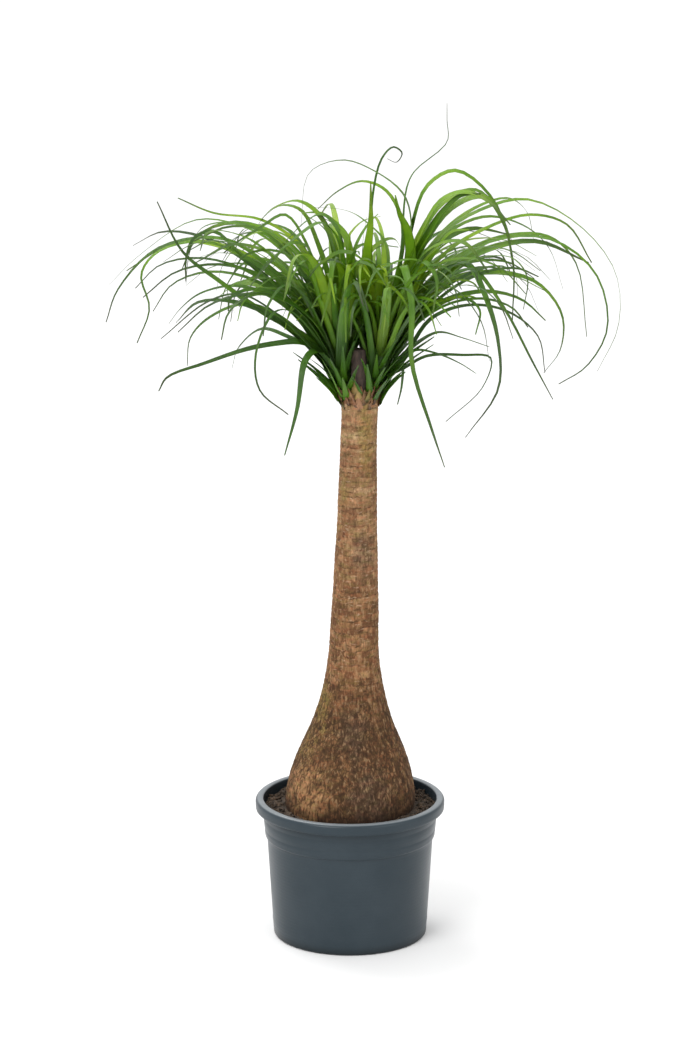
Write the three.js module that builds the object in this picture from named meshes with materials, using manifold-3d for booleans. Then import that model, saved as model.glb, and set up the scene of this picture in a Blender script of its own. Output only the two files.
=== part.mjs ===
// A potted ponytail palm: a plastic nursery pot, its soil, the swollen trunk and two heads of strap leaves.
// Millimetres, +Z up. The origin is on the floor, under the middle of the pot. The front faces -Y.

import * as THREE from 'three';
import { mergeVertices } from 'three/addons/utils/BufferGeometryUtils.js';
import Module from 'manifold-3d';

// Driving dimensions of the pot
const POT_HEIGHT = 180;
const LIP_RADIUS = 120;
const LIP_ROUNDING = 5;
const SKIRT_BOTTOM = 166;
const COLLAR_RADIUS = 111;
const COLLAR_BOTTOM = 131;
const COLLAR_BOTTOM_RADIUS = 107.8;
const BODY_TOP_RADIUS = 105.3;
const BASE_RADIUS = 97.3;
const BASE_ROUNDING = 3.5;
const WALL = 1.6;
const FOOT_RING_RADIUS = 72;
const FLOOR_RAISE = 5;
const CENTRE_PAD_RADIUS = 40;
const DRAIN_HOLES = 8;
const DRAIN_HOLE_RADIUS = 5;
const POT_SIDES = 36;

// Driving dimensions of the soil, and the gap between pieces that touch
const SOIL_LEVEL = 168;
const SOIL_MOUND = 5;
const SOIL_GRAIN = 1.6;
const FIT_GAP = 0.3;

// Driving dimensions of the trunk
const TRUNK_SIDES = 24;
const TRUNK_LEAN = 13;
const TRUNK_TOP = 709;
const ROOT_BASE_BOTTOM = 70;
const NECK_BOTTOM = 350;
const CAUDEX_RINGS = 17;
const UNDERGROUND_RINGS = 4;
const SCAR_SPACING = 21;
const SCAR_HEIGHT = 0.8;
const SCAR_TILT = 1.6;
const FISSURE_DEPTH = 1.6;
const FISSURE_COUNT = 9;
const TRUNK_DOME = 7;
const FORK_BOTTOM = 670;
const FORK_TOP = 716;
const FORK_ARM_RADIUS = 11.5;
const FORK_SPLAY = 16;
const STUB_TOP = 766;
const STUB_RADIUS = 9.5;
const STUB_X = 11;
const STUB_Y = -12;

// The trunk's outline as [height, radius], read upward from the root base in the soil
const TRUNK_OUTLINE = [
  [70, 24], [100, 50], [125, 68], [150, 78], [172, 81.5], [192, 80.5], [212, 77], [228, 72.5], [244, 66.5],
  [260, 59.5], [276, 52.5], [292, 47], [308, 42.5], [334, 36.5], [360, 32.5], [387, 30.5], [439, 29.2],
  [491, 27.2], [530, 25.2], [570, 24.2], [620, 23.2], [672, 22], [709, 23],
];

// Driving dimensions of the leaves
const FILLER_STEPS = 4;
const BLADE_THICKNESS = 1.8;
const TIP_THICKNESS = 1;
const TIP_WIDTH = 1.8;
const CHANNEL_DEPTH = 0.2;
const CORE_LENGTH = 86;
const CORE_FOOT_RADIUS = 11;
const CORE_RADIUS = 18;
const ROOT_RISE = 54;
const ROOT_OFFSET = 9;
const CROWN_BOTTOM = 760;
const BOTTOM_SCATTER = 110;
const FRONT_LIFT = 0.3;
const LIFT_GROWTH = 1.2;
const BLADE_TWIST = 0.7;
const TWIST_STEP = 2.4;
const TWIST_START = 1;
const FOOT_TURN = 0.6;
const WIDTH_TAPER = 0.85;
const LEAF_FULLNESS = 1.25;
const DEPTH_GROWTH = 1.15;

// How the filling leaves grow: angles in degrees, lengths in millimetres
const GOLDEN_SHARE = 0.618034;
const FILLER_SPREAD = 200;
const AZIMUTH_SCATTER = 14;
const YOUNG_RISE = 86;
const RISE_FALL = 40;
const RISE_SCATTER = 12;
const LEAST_DROOP = 90;
const DROOP_SCATTER = 60;
const DROOP_GROWTH = 1.6;
const LEAST_LENGTH = 250;
const LENGTH_SCATTER = 110;
const SIDEWAYS_BEND = 50;
const LEAST_WIDTH = 12;
const WIDTH_SCATTER = 5;

// The two heads: the foot of the core, its lean in degrees, the side it faces and its filling leaves
const LEFT_HEAD = { footX: -7, lean: -13, side: 180, fillers: 10, seed: 373 };
const RIGHT_HEAD = { footX: 29, lean: 12, side: 0, fillers: 9, seed: 91 };

// The leaves that give the crown its outline: [age from 0, young, to 1, old; width at the foot; how far
// back the tip lies, less than 0 for the front; the places that the midrib passes as [across, up]]
const LEFT_LEAVES = [
  [0.45, 9, 40, [[-40, 825], [-80, 880], [-125, 910], [-190, 920], [-260, 875], [-300, 835]]],
  [0.55, 10, -40, [[-45, 810], [-90, 860], [-155, 905], [-235, 895], [-285, 845], [-300, 805]]],
  [0.65, 8, -90, [[-55, 815], [-115, 875], [-180, 905], [-235, 895], [-255, 870], [-245, 830],
    [-260, 790]]],
  [0.50, 9, 70, [[-45, 830], [-100, 900], [-150, 915], [-185, 905], [-200, 870], [-205, 830]]],
  [0.75, 12, -60, [[-50, 775], [-110, 815], [-160, 855], [-205, 895], [-235, 960]]],
  [0.70, 10, 20, [[-45, 780], [-95, 825], [-140, 840], [-185, 830], [-210, 810], [-225, 790]]],
  [0.80, 10, -110, [[-45, 765], [-90, 815], [-135, 845], [-175, 840], [-230, 800]]],
  [0.80, 9, 90, [[-45, 760], [-85, 795], [-130, 810], [-175, 790], [-200, 760], [-205, 720]]],
  [0.40, 11, 115, [[-30, 810], [-50, 865], [-75, 900], [-110, 905], [-140, 885], [-160, 850]]],
  [0.85, 8, -130, [[-45, 785], [-75, 820], [-95, 820], [-115, 775], [-110, 735], [-75, 710]]],
  [0.98, 13, -115, [[-40, 765], [-55, 760], [-65, 705], [-80, 655]]],
  [0.25, 14, 30, [[-20, 810], [-20, 885], [-40, 930], [-65, 945], [-95, 935], [-110, 920]]],
  [0.95, 11, -70, [[-35, 760], [-60, 775], [-95, 775], [-130, 770], [-180, 755], [-225, 740], [-235, 725]]],
  [0.20, 14, -95, [[-10, 840], [-15, 905], [-35, 930], [-60, 920], [-95, 890], [-115, 870]]],
  [0.50, 9, 150, [[-30, 805], [-55, 860], [-85, 885], [-125, 890], [-155, 870], [-185, 840]]],
  [0.30, 8, 90, [[-25, 820], [-60, 885], [-110, 915], [-170, 920], [-215, 935]]],
  [0.05, 12, 10, [[-10, 810], [-15, 865], [-30, 910], [-55, 930]]],
  [0.30, 14, -150, [[-10, 815], [-10, 870], [-20, 890], [-25, 860], [-35, 825]]],
  [0.15, 15, -130, [[0, 810], [0, 860], [0, 885], [-5, 865], [-5, 800]]],
  [0.70, 11, -140, [[-35, 790], [-60, 845], [-80, 860], [-100, 840], [-105, 810]]],
  [0.90, 9, 140, [[-40, 755], [-75, 765], [-110, 770], [-140, 740], [-150, 705]]],
  [0.35, 10, -20, [[-25, 820], [-55, 880], [-85, 910], [-120, 910], [-155, 875], [-165, 840]]],
  [0.20, 13, -60, [[-5, 775], [0, 830], [0, 880], [0, 920]]],
  [0.10, 12, 40, [[0, 780], [5, 835], [5, 880], [20, 910], [35, 925]]],
  [0.50, 12, -120, [[-20, 770], [-35, 825], [-45, 865], [-55, 890], [-70, 875], [-80, 850]]],
  [0.45, 12, -90, [[-20, 775], [-30, 830], [-40, 875], [-55, 905], [-75, 910], [-95, 890]]],
  [0.30, 11, 60, [[-20, 785], [-25, 840], [-40, 890], [-60, 930], [-85, 935], [-110, 915], [-125, 880]]],
  [0.15, 16, 20, [[-10, 810], [0, 865], [-5, 900], [-15, 915], [-35, 930], [-60, 930]]],
  [0.55, 9, 90, [[-30, 785], [-60, 830], [-100, 865], [-130, 860], [-155, 825], [-165, 780]]],
  [0.30, 11, 20, [[-20, 800], [-10, 860], [-15, 910], [-35, 930], [-55, 920], [-85, 890], [-120, 860],
    [-145, 830]]],
  [0.40, 9, -30, [[-30, 795], [-40, 850], [-55, 900], [-80, 935], [-110, 920], [-135, 905], [-155, 890]]],
  [0.60, 9, -60, [[-35, 775], [-65, 815], [-90, 845], [-120, 875], [-145, 900], [-170, 910], [-195, 900]]],
  [0.50, 10, -90, [[-35, 780], [-50, 830], [-65, 870], [-80, 895], [-100, 885], [-120, 860], [-135, 835]]],
  [0.60, 11, -80, [[-40, 805], [-70, 835], [-100, 865], [-135, 890], [-165, 920], [-190, 915],
    [-200, 890], [-200, 865]]],
];
const RIGHT_LEAVES = [
  [0.30, 10, -30, [[65, 835], [75, 910], [95, 970], [130, 990], [175, 955], [200, 880], [200, 805]]],
  [0.40, 14, 20, [[60, 825], [85, 900], [115, 945], [155, 960], [185, 930], [200, 895]]],
  [0.35, 10, 100, [[65, 820], [100, 885], [145, 925], [195, 940], [220, 920], [230, 880]]],
  [0.50, 9, -65, [[70, 815], [115, 885], [165, 920], [220, 940], [265, 930], [295, 885]]],
  [0.45, 10, 60, [[70, 825], [110, 900], [165, 935], [220, 945], [285, 910], [330, 850], [335, 780],
    [310, 720]]],
  [0.60, 8, -95, [[75, 805], [120, 865], [175, 905], [245, 910], [300, 870], [315, 805], [290, 760],
    [255, 740]]],
  [0.50, 10, 35, [[75, 810], [125, 870], [185, 900], [245, 900], [280, 865], [295, 770]]],
  [0.65, 10, -125, [[80, 800], [115, 855], [145, 885], [195, 895], [215, 875], [210, 840]]],
  [0.65, 10, 115, [[75, 785], [120, 840], [170, 850], [230, 835], [265, 790], [265, 740], [245, 705]]],
  [0.80, 17, -145, [[100, 840], [125, 875], [145, 880], [165, 845], [180, 795], [180, 740], [140, 685]]],
  [0.70, 11, -50, [[95, 830], [125, 870], [150, 870], [190, 820], [225, 755], [250, 710]]],
  [0.85, 8, 75, [[70, 755], [100, 795], [145, 810], [195, 800], [235, 765], [245, 715]]],
  [0.25, 15, -155, [[50, 795], [60, 855], [65, 880], [75, 840], [75, 770], [100, 690], [115, 650]]],
  [0.80, 10, -20, [[65, 770], [105, 820], [140, 830], [160, 815], [155, 785]]],
  [0.90, 9, 65, [[60, 745], [85, 765], [110, 775], [140, 765], [175, 750]]],
  [0.92, 9, -60, [[60, 740], [80, 765], [105, 765], [135, 755], [155, 745]]],
  [0.95, 6, 40, [[65, 735], [95, 750], [140, 750], [175, 745], [165, 705], [120, 660]]],
  [1.00, 8, 90, [[55, 730], [65, 735], [65, 700], [60, 670]]],
  [0.40, 8, 150, [[70, 820], [110, 890], [165, 915], [215, 900], [250, 865], [270, 805]]],
  [0.05, 4, 20, [[30, 811], [26, 886], [28, 955], [39, 1000], [53, 1014], [64, 1006], [57, 994],
    [46, 998]]],
  [0.10, 4, 60, [[60, 835], [65, 905], [70, 960], [80, 980], [120, 1015], [120, 1040], [120, 1060]]],
  [0.20, 13, -40, [[65, 835], [75, 920], [65, 960], [30, 990], [-10, 1005], [-50, 990], [-60, 925]]],
  [0.15, 8, 70, [[55, 835], [65, 915], [45, 955], [15, 965], [-15, 950], [-40, 925]]],
  [0.50, 20, -90, [[20, 840], [20, 885], [25, 935], [25, 990]]],
  [0.20, 7, 110, [[45, 835], [45, 885], [20, 910], [-5, 920], [-55, 920]]],
  [0.15, 17, -120, [[35, 815], [35, 865], [40, 880], [45, 855], [40, 805]]],
  [0.50, 14, -150, [[60, 800], [75, 860], [90, 890], [105, 875], [100, 840]]],
  [0.55, 9, 135, [[70, 820], [90, 880], [115, 895], [150, 890], [190, 870]]],
  [0.15, 12, -30, [[20, 785], [20, 840], [15, 890], [20, 935]]],
  [0.20, 12, 60, [[20, 775], [15, 830], [0, 880], [-20, 910], [-45, 920]]],
  [0.60, 12, -130, [[50, 770], [65, 815], [80, 840], [95, 835], [105, 810]]],
  [0.25, 18, -80, [[50, 830], [80, 895], [110, 955], [140, 970], [170, 960], [195, 935]]],
  [0.30, 16, -50, [[55, 825], [85, 885], [125, 945], [165, 960], [190, 925], [200, 875]]],
  [0.55, 11, -100, [[40, 790], [70, 830], [100, 855], [130, 850], [160, 815], [170, 770]]],
  [0.70, 10, -60, [[60, 780], [80, 805], [100, 825], [125, 835], [145, 840], [155, 840]]],
  [0.65, 10, -80, [[65, 790], [85, 825], [110, 845], [130, 860], [150, 860], [160, 850]]],
  [0.10, 19, -70, [[65, 825], [75, 880], [70, 920], [60, 945], [55, 970]]],
  [0.25, 20, -60, [[70, 825], [80, 880], [100, 920], [115, 945], [135, 965], [160, 970]]],
  [0.20, 16, -100, [[70, 815], [85, 855], [100, 890], [115, 910], [125, 920]]],
  [0.05, 18, -60, [[70, 825], [85, 865], [105, 895], [125, 920], [145, 925]]],
];

const wasm = await Module();
wasm.setup();

// A closed three.js geometry as a solid that can be joined and cut
function toSolid(geometry) {
  const bare = geometry.clone();
  bare.deleteAttribute('normal');
  bare.deleteAttribute('uv');
  const merged = mergeVertices(bare, 1e-4);
  return new wasm.Manifold(new wasm.Mesh({
    numProp: 3,
    vertProperties: new Float32Array(merged.attributes.position.array),
    triVerts: new Uint32Array(merged.index.array),
  }));
}

// A solid back as a three.js geometry
function toGeometry(solid) {
  const mesh = solid.getMesh();
  const geometry = new THREE.BufferGeometry();
  geometry.setAttribute('position', new THREE.BufferAttribute(mesh.vertProperties, 3));
  geometry.setIndex(new THREE.BufferAttribute(mesh.triVerts, 1));
  geometry.computeVertexNormals();
  return geometry;
}

// The outer body of a solid, with small hollows that crossing blades seal filled in
function outerBody(solid) {
  let largest = solid;
  let largestVolume = 0;
  for (const piece of solid.decompose()) {
    if (piece.volume() > largestVolume) {
      largest = piece;
      largestVolume = piece.volume();
    }
  }
  return largest;
}

// A profile of [radius, height] points turned about the Z axis
function turned(profile, sides) {
  const points = profile.map(([radius, height]) => new THREE.Vector2(radius, height));
  const geometry = new THREE.LatheGeometry(points, sides);
  geometry.rotateX(Math.PI / 2);
  return geometry;
}

// Points of a quarter round from one angle to another, in degrees, about a centre in the profile
function arc(centreRadius, centreHeight, rounding, fromAngle, toAngle, steps) {
  const points = [];
  for (let step = 0; step <= steps; step += 1) {
    const angle = THREE.MathUtils.degToRad(fromAngle + ((toAngle - fromAngle) * step) / steps);
    points.push([centreRadius + rounding * Math.cos(angle), centreHeight + rounding * Math.sin(angle)]);
  }
  return points;
}

// The inside of the pot from the middle of its floor up to the soil's level, with a gap all along it
function potInside(gap) {
  const low = WALL + gap;
  const high = WALL + FLOOR_RAISE + gap;
  const soilShare = (SOIL_LEVEL - COLLAR_BOTTOM) / (SKIRT_BOTTOM - COLLAR_BOTTOM);
  return [
    [0, low],
    [CENTRE_PAD_RADIUS - WALL - gap, low],
    [CENTRE_PAD_RADIUS - gap, high],
    [FOOT_RING_RADIUS + gap, high],
    [FOOT_RING_RADIUS + WALL + gap, low],
    [BASE_RADIUS - BASE_ROUNDING - gap, low],
    [BASE_RADIUS - WALL - gap, BASE_ROUNDING + gap],
    [BODY_TOP_RADIUS - WALL - gap, COLLAR_BOTTOM - WALL],
    [COLLAR_BOTTOM_RADIUS - WALL - gap, COLLAR_BOTTOM + WALL],
    [THREE.MathUtils.lerp(COLLAR_BOTTOM_RADIUS, COLLAR_RADIUS, soilShare) - WALL - gap, SOIL_LEVEL],
  ];
}

function makePot() {
  const lipCentre = LIP_RADIUS - LIP_ROUNDING;
  const lipTaper = 0.3;
  const underLip = POT_HEIGHT - 2 * WALL;
  const profile = [
    [0, 0],
    [CENTRE_PAD_RADIUS, 0],
    [CENTRE_PAD_RADIUS + WALL, FLOOR_RAISE],
    [FOOT_RING_RADIUS - WALL, FLOOR_RAISE],
    [FOOT_RING_RADIUS, 0],
    ...arc(BASE_RADIUS - BASE_ROUNDING, BASE_ROUNDING, BASE_ROUNDING, -90, 0, 3),
    [BODY_TOP_RADIUS, COLLAR_BOTTOM - WALL],
    [COLLAR_BOTTOM_RADIUS, COLLAR_BOTTOM],
    [COLLAR_RADIUS, SKIRT_BOTTOM],
    [COLLAR_RADIUS + WALL, underLip],
    [LIP_RADIUS - 2 * WALL, underLip],
    [LIP_RADIUS - WALL, SKIRT_BOTTOM],
    [LIP_RADIUS - lipTaper, SKIRT_BOTTOM],
    ...arc(lipCentre, POT_HEIGHT - LIP_ROUNDING, LIP_ROUNDING, 0, 90, 3),
    [COLLAR_RADIUS + WALL / 2, POT_HEIGHT],
    [COLLAR_RADIUS - WALL / 2, POT_HEIGHT - WALL],
    ...potInside(0).reverse(),
  ];
  let solid = toSolid(turned(profile, POT_SIDES));
  const hole = new THREE.CylinderGeometry(DRAIN_HOLE_RADIUS, DRAIN_HOLE_RADIUS, 4 * FLOOR_RAISE, 12);
  hole.rotateX(Math.PI / 2);
  const ringRadius = (CENTRE_PAD_RADIUS + FOOT_RING_RADIUS) / 2;
  for (let index = 0; index < DRAIN_HOLES; index += 1) {
    const angle = (index * 2 * Math.PI) / DRAIN_HOLES;
    const drill = hole.clone();
    drill.translate(ringRadius * Math.cos(angle), ringRadius * Math.sin(angle), 0);
    solid = solid.subtract(toSolid(drill));
  }
  return toGeometry(solid);
}

// The trunk's radius at a height, along a smooth line through the outline's points
const outlinePoints = TRUNK_OUTLINE.map(([height, radius]) => new THREE.Vector2(height, radius));
const outlineSamples = new THREE.SplineCurve(outlinePoints).getPoints(400);

function trunkRadius(height) {
  for (let index = 1; index < outlineSamples.length; index += 1) {
    const above = outlineSamples[index];
    const below = outlineSamples[index - 1];
    if (above.x >= height) {
      return THREE.MathUtils.mapLinear(height, below.x, above.x, below.y, above.y);
    }
  }
  return outlineSamples[outlineSamples.length - 1].y;
}

// How far the trunk's middle has moved to the right at a height
function trunkShift(height) {
  const share = THREE.MathUtils.clamp((height - SOIL_LEVEL) / (TRUNK_TOP - SOIL_LEVEL), 0, 1);
  return TRUNK_LEAN * share;
}

// How much of the bark's relief there is at a height: none in the soil, and all of it a little above
function reliefShare(height) {
  return THREE.MathUtils.smoothstep(height, SOIL_LEVEL + 4, SOIL_LEVEL + 16);
}

// The bark's relief: upright fissures that wander over the swollen base
function fissureRelief(angle, height) {
  const wander = 0.5 * Math.sin(height / 23) + 0.35 * Math.sin(height / 9 + 2 * angle);
  const ribs = Math.cos(FISSURE_COUNT * angle + wander * 2);
  const cross = Math.cos(height / 6 + 3 * Math.sin(4 * angle));
  const thin = 1 - THREE.MathUtils.smoothstep(height, 260, NECK_BOTTOM + 40);
  return FISSURE_DEPTH * reliefShare(height) * thin * (0.65 * ribs + 0.35 * cross);
}

// The heights of the trunk's rings: even in the soil, closer on the swollen base, then two for each scar
function trunkRings() {
  const rings = [];
  for (let index = 0; index < UNDERGROUND_RINGS; index += 1) {
    const height = THREE.MathUtils.lerp(ROOT_BASE_BOTTOM, SOIL_LEVEL, index / UNDERGROUND_RINGS);
    rings.push({ height, scar: 0 });
  }
  for (let index = 0; index < CAUDEX_RINGS; index += 1) {
    const height = THREE.MathUtils.lerp(SOIL_LEVEL - 4, NECK_BOTTOM, index / CAUDEX_RINGS);
    rings.push({ height, scar: 0 });
  }
  for (let height = NECK_BOTTOM; height < TRUNK_TOP - SCAR_SPACING; height += SCAR_SPACING) {
    rings.push({ height, scar: -0.5 });
    rings.push({ height: height + SCAR_SPACING * 0.7, scar: 0.5 });
  }
  rings.push({ height: TRUNK_TOP, scar: 0 });
  return rings;
}

function makeTrunk() {
  const rings = trunkRings();
  const positions = [];
  const index = [];
  for (const { height, scar } of rings) {
    for (let side = 0; side < TRUNK_SIDES; side += 1) {
      const angle = (side * 2 * Math.PI) / TRUNK_SIDES;
      const tilt = scar === 0 ? 0 : SCAR_TILT * Math.sin(2 * angle + height / 31);
      const radius = trunkRadius(height) + scar * SCAR_HEIGHT + fissureRelief(angle, height);
      positions.push(trunkShift(height) + radius * Math.cos(angle), radius * Math.sin(angle), height + tilt);
    }
  }
  const bottom = positions.length / 3;
  positions.push(0, 0, ROOT_BASE_BOTTOM);
  positions.push(TRUNK_LEAN, 0, TRUNK_TOP + TRUNK_DOME);
  for (let ring = 0; ring < rings.length; ring += 1) {
    for (let side = 0; side < TRUNK_SIDES; side += 1) {
      const next = (side + 1) % TRUNK_SIDES;
      const a = ring * TRUNK_SIDES + side;
      const b = ring * TRUNK_SIDES + next;
      if (ring === 0) {
        index.push(bottom, b, a);
      }
      if (ring === rings.length - 1) {
        index.push(bottom + 1, a, b);
      } else {
        index.push(a, b, b + TRUNK_SIDES);
        index.push(a, b + TRUNK_SIDES, a + TRUNK_SIDES);
      }
    }
  }
  const geometry = new THREE.BufferGeometry();
  geometry.setAttribute('position', new THREE.Float32BufferAttribute(positions, 3));
  geometry.setIndex(index);
  const arms = [LEFT_HEAD, RIGHT_HEAD].map((head) => makeForkArm(head));
  const stub = turned([[0, FORK_BOTTOM], [STUB_RADIUS + 1, FORK_BOTTOM], [STUB_RADIUS, FORK_TOP],
    [STUB_RADIUS - 0.5, STUB_TOP - 3], [STUB_RADIUS - 2, STUB_TOP], [0, STUB_TOP - 1]], 12);
  stub.translate(STUB_X, STUB_Y, 0);
  return toGeometry([...arms, toSolid(stub)].reduce((body, piece) => body.add(piece), toSolid(geometry)));
}

// One arm of the fork at the trunk's top, with a flat end that carries a head
function makeForkArm(head) {
  const length = FORK_TOP - FORK_BOTTOM;
  const arm = turned([[0, -length], [FORK_ARM_RADIUS, -length], [FORK_ARM_RADIUS + 1, -length / 3],
    [FORK_ARM_RADIUS, 0], [0, 0]], 16);
  return toSolid(placeOnHead(arm, head, Math.sign(head.lean) * FORK_SPLAY));
}

// Leans a geometry made along +Z sideways, its level faces kept level, and moves it to a head's foot
function placeOnHead(geometry, head, lean) {
  const slope = Math.tan(THREE.MathUtils.degToRad(lean));
  geometry.applyMatrix4(new THREE.Matrix4().makeShear(0, 0, 0, 0, slope, 0));
  geometry.translate(head.footX, 0, FORK_TOP);
  return geometry;
}

function makeSoil() {
  const wallRings = potInside(FIT_GAP).slice(-3);
  const rimRadius = wallRings[2][0];
  const floor = FLOOR_RAISE + WALL + FIT_GAP;
  const rings = [[0, floor], [BASE_RADIUS - WALL - FIT_GAP, floor], ...wallRings];
  for (const share of [0.92, 0.75, 0]) {
    rings.push([rimRadius * share, SOIL_LEVEL + SOIL_MOUND * (1 - share)]);
  }
  const geometry = turned(rings, POT_SIDES);
  const place = geometry.attributes.position;
  for (let index = 0; index < place.count; index += 1) {
    const x = place.getX(index);
    const y = place.getY(index);
    const z = place.getZ(index);
    const radius = Math.hypot(x, y);
    if (z > SOIL_LEVEL + 0.1 && radius > 1) {
      const angle = Math.atan2(y, x);
      const grain = Math.sin(7 * angle + radius / 5) + Math.sin(13 * angle - radius / 3);
      place.setZ(index, z + (SOIL_GRAIN * grain) / 2);
    }
  }
  return toGeometry(toSolid(geometry).subtract(makeRootHole()));
}

// The plain hole that the trunk stands in, a gap wider than the root base all round
function makeRootHole() {
  const heights = trunkRings().map((ring) => ring.height).filter((height) => height < SOIL_LEVEL + 25);
  const profile = heights.map((height) => {
    const relief = FISSURE_DEPTH * reliefShare(height);
    return [trunkRadius(height) + relief + 2 * FIT_GAP, height];
  });
  const bottom = ROOT_BASE_BOTTOM - FIT_GAP;
  profile[0][1] = bottom;
  return toSolid(turned([[0, bottom], ...profile, [0, heights[heights.length - 1]]], TRUNK_SIDES));
}

// A seeded random number from 0 to 1, the same on every run
function seededRandom(seed) {
  let state = seed;
  return () => {
    state = (Math.imul(state, 1664525) + 1013904223) >>> 0;
    return state / 4294967296;
  };
}

// The place on a head's core where a leaf of an age is rooted, a little off the core's middle
function leafRoot(head, age, towardX, towardY) {
  const lean = THREE.MathUtils.degToRad(head.lean);
  const along = ROOT_RISE * (1 - age) + 6;
  const reach = Math.hypot(towardX, towardY) || 1;
  const offset = ROOT_OFFSET * (0.3 + 0.7 * age);
  return new THREE.Vector3(
    head.footX + along * Math.sin(lean) + (offset * towardX) / reach,
    (offset * towardY) / reach,
    FORK_TOP + along * Math.cos(lean),
  );
}

// An outline leaf's midrib, from its root through its listed places, with the depth growing toward the tip
function outlineMidrib(head, [age, , depth, path]) {
  const last = path[path.length - 1];
  const root = leafRoot(head, age, last[0] - head.footX, depth);
  const places = path.map(([across, up], index) => {
    const share = (index + 1) / path.length;
    return new THREE.Vector3(across, root.y + (depth - root.y) * share ** DEPTH_GROWTH, up);
  });
  return [root, ...places];
}

// A filling leaf's midrib: it rises at an angle that falls with age, then arches over and down, and is
// held up where its tip would hang below the crown, more so at the front
function fillerMidrib(head, number, random) {
  const age = (number + 0.5) / head.fillers;
  const spread = FILLER_SPREAD * (((number * GOLDEN_SHARE) % 1) - 0.5);
  const azimuth = THREE.MathUtils.degToRad(head.side + spread + AZIMUTH_SCATTER * (random() - 0.5));
  const rise = THREE.MathUtils.degToRad(YOUNG_RISE - RISE_FALL * age + RISE_SCATTER * (random() - 0.5));
  const droop = THREE.MathUtils.degToRad(LEAST_DROOP + DROOP_SCATTER * random());
  const length = LEAST_LENGTH + LENGTH_SCATTER * random();
  const bend = THREE.MathUtils.degToRad(SIDEWAYS_BEND * (random() - 0.5));
  const place = leafRoot(head, age, Math.cos(azimuth), Math.sin(azimuth));
  const midrib = [place.clone()];
  for (let step = 1; step <= FILLER_STEPS; step += 1) {
    const share = step / FILLER_STEPS;
    const climb = rise - droop * share ** DROOP_GROWTH;
    const turn = azimuth + bend * share;
    place.x += (length / FILLER_STEPS) * Math.cos(climb) * Math.cos(turn);
    place.y += (length / FILLER_STEPS) * Math.cos(climb) * Math.sin(turn);
    place.z += (length / FILLER_STEPS) * Math.sin(climb);
    midrib.push(place.clone());
  }
  const lowest = CROWN_BOTTOM + BOTTOM_SCATTER * random() + FRONT_LIFT * Math.max(0, -place.y);
  const lift = Math.max(0, lowest - place.z);
  midrib.forEach((point, step) => {
    point.z += lift * (step / FILLER_STEPS) ** LIFT_GROWTH;
  });
  return midrib;
}

// A strap leaf along a midrib: four corners a step, channelled above and keeled below, narrowing to a point.
// Its foot is turned to show its face to the front, and twist is how far its tip is turned on, in radians
function makeBlade(midrib, width, steps, twist) {
  const curve = new THREE.CatmullRomCurve3(midrib, false, 'centripetal');
  const places = curve.getPoints(steps);
  const outward = new THREE.Vector3().subVectors(places[steps], places[0]).setZ(0).normalize();
  const side = new THREE.Vector3(outward.y, -outward.x, 0);
  const positions = [];
  for (let step = 0; step < steps; step += 1) {
    const share = step / steps;
    const before = places[Math.max(step - 1, 0)];
    const tangent = new THREE.Vector3().subVectors(places[step + 1], before).normalize();
    side.addScaledVector(tangent, -side.dot(tangent)).normalize();
    const broad = side.clone().applyAxisAngle(tangent, FOOT_TURN * outward.x + twist * share);
    const up = new THREE.Vector3().crossVectors(broad, tangent);
    const halfWidth = TIP_WIDTH / 2 + ((width - TIP_WIDTH) / 2) * (1 - share ** WIDTH_TAPER);
    const halfThickness = THREE.MathUtils.lerp(BLADE_THICKNESS, TIP_THICKNESS, share) / 2;
    const edgeRise = halfThickness + halfWidth * CHANNEL_DEPTH;
    const corners = [[-halfWidth, edgeRise], [0, -halfThickness], [halfWidth, edgeRise], [0, halfThickness]];
    for (const [across, rise] of corners) {
      const corner = places[step].clone().addScaledVector(broad, across).addScaledVector(up, rise);
      positions.push(corner.x, corner.y, corner.z);
    }
  }
  const tip = positions.length / 3;
  positions.push(places[steps].x, places[steps].y, places[steps].z);
  const index = [0, 1, 3, 1, 2, 3];
  for (let step = 0; step < steps; step += 1) {
    for (let corner = 0; corner < 4; corner += 1) {
      const a = step * 4 + corner;
      const b = step * 4 + ((corner + 1) % 4);
      if (step === steps - 1) {
        index.push(b, a, tip);
      } else if (corner === 1 || corner === 3) {
        index.push(b, a, b + 4, b + 4, a, a + 4);
      } else {
        index.push(b, a, a + 4, b + 4, b, a + 4);
      }
    }
  }
  const geometry = new THREE.BufferGeometry();
  geometry.setAttribute('position', new THREE.Float32BufferAttribute(positions, 3));
  geometry.setIndex(index);
  return geometry;
}

// A head: a small leaning core of leaf bases with every leaf fused to it
function makeHead(head, outlineLeaves) {
  const core = turned([[0, FIT_GAP], [CORE_FOOT_RADIUS, FIT_GAP], [CORE_RADIUS, CORE_LENGTH * 0.4],
    [CORE_RADIUS * 0.85, CORE_LENGTH * 0.65], [0, CORE_LENGTH]], 12);
  let body = toSolid(placeOnHead(core, head, head.lean));
  outlineLeaves.forEach((leaf, number) => {
    const twist = BLADE_TWIST * Math.sin(TWIST_STEP * number + TWIST_START);
    const width = leaf[1] * LEAF_FULLNESS;
    body = body.add(toSolid(makeBlade(outlineMidrib(head, leaf), width, leaf[3].length, twist)));
  });
  const random = seededRandom(head.seed);
  for (let number = 0; number < head.fillers; number += 1) {
    const midrib = fillerMidrib(head, number, random);
    const width = (LEAST_WIDTH + WIDTH_SCATTER * random()) * LEAF_FULLNESS;
    const twist = BLADE_TWIST * (2 * random() - 1);
    body = body.add(toSolid(makeBlade(midrib, width, FILLER_STEPS, twist)));
  }
  return toGeometry(outerBody(body));
}

function named(name, geometry, color, roughness) {
  const mesh = new THREE.Mesh(geometry, new THREE.MeshStandardMaterial({ color, roughness, metalness: 0 }));
  mesh.name = name;
  return mesh;
}

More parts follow.
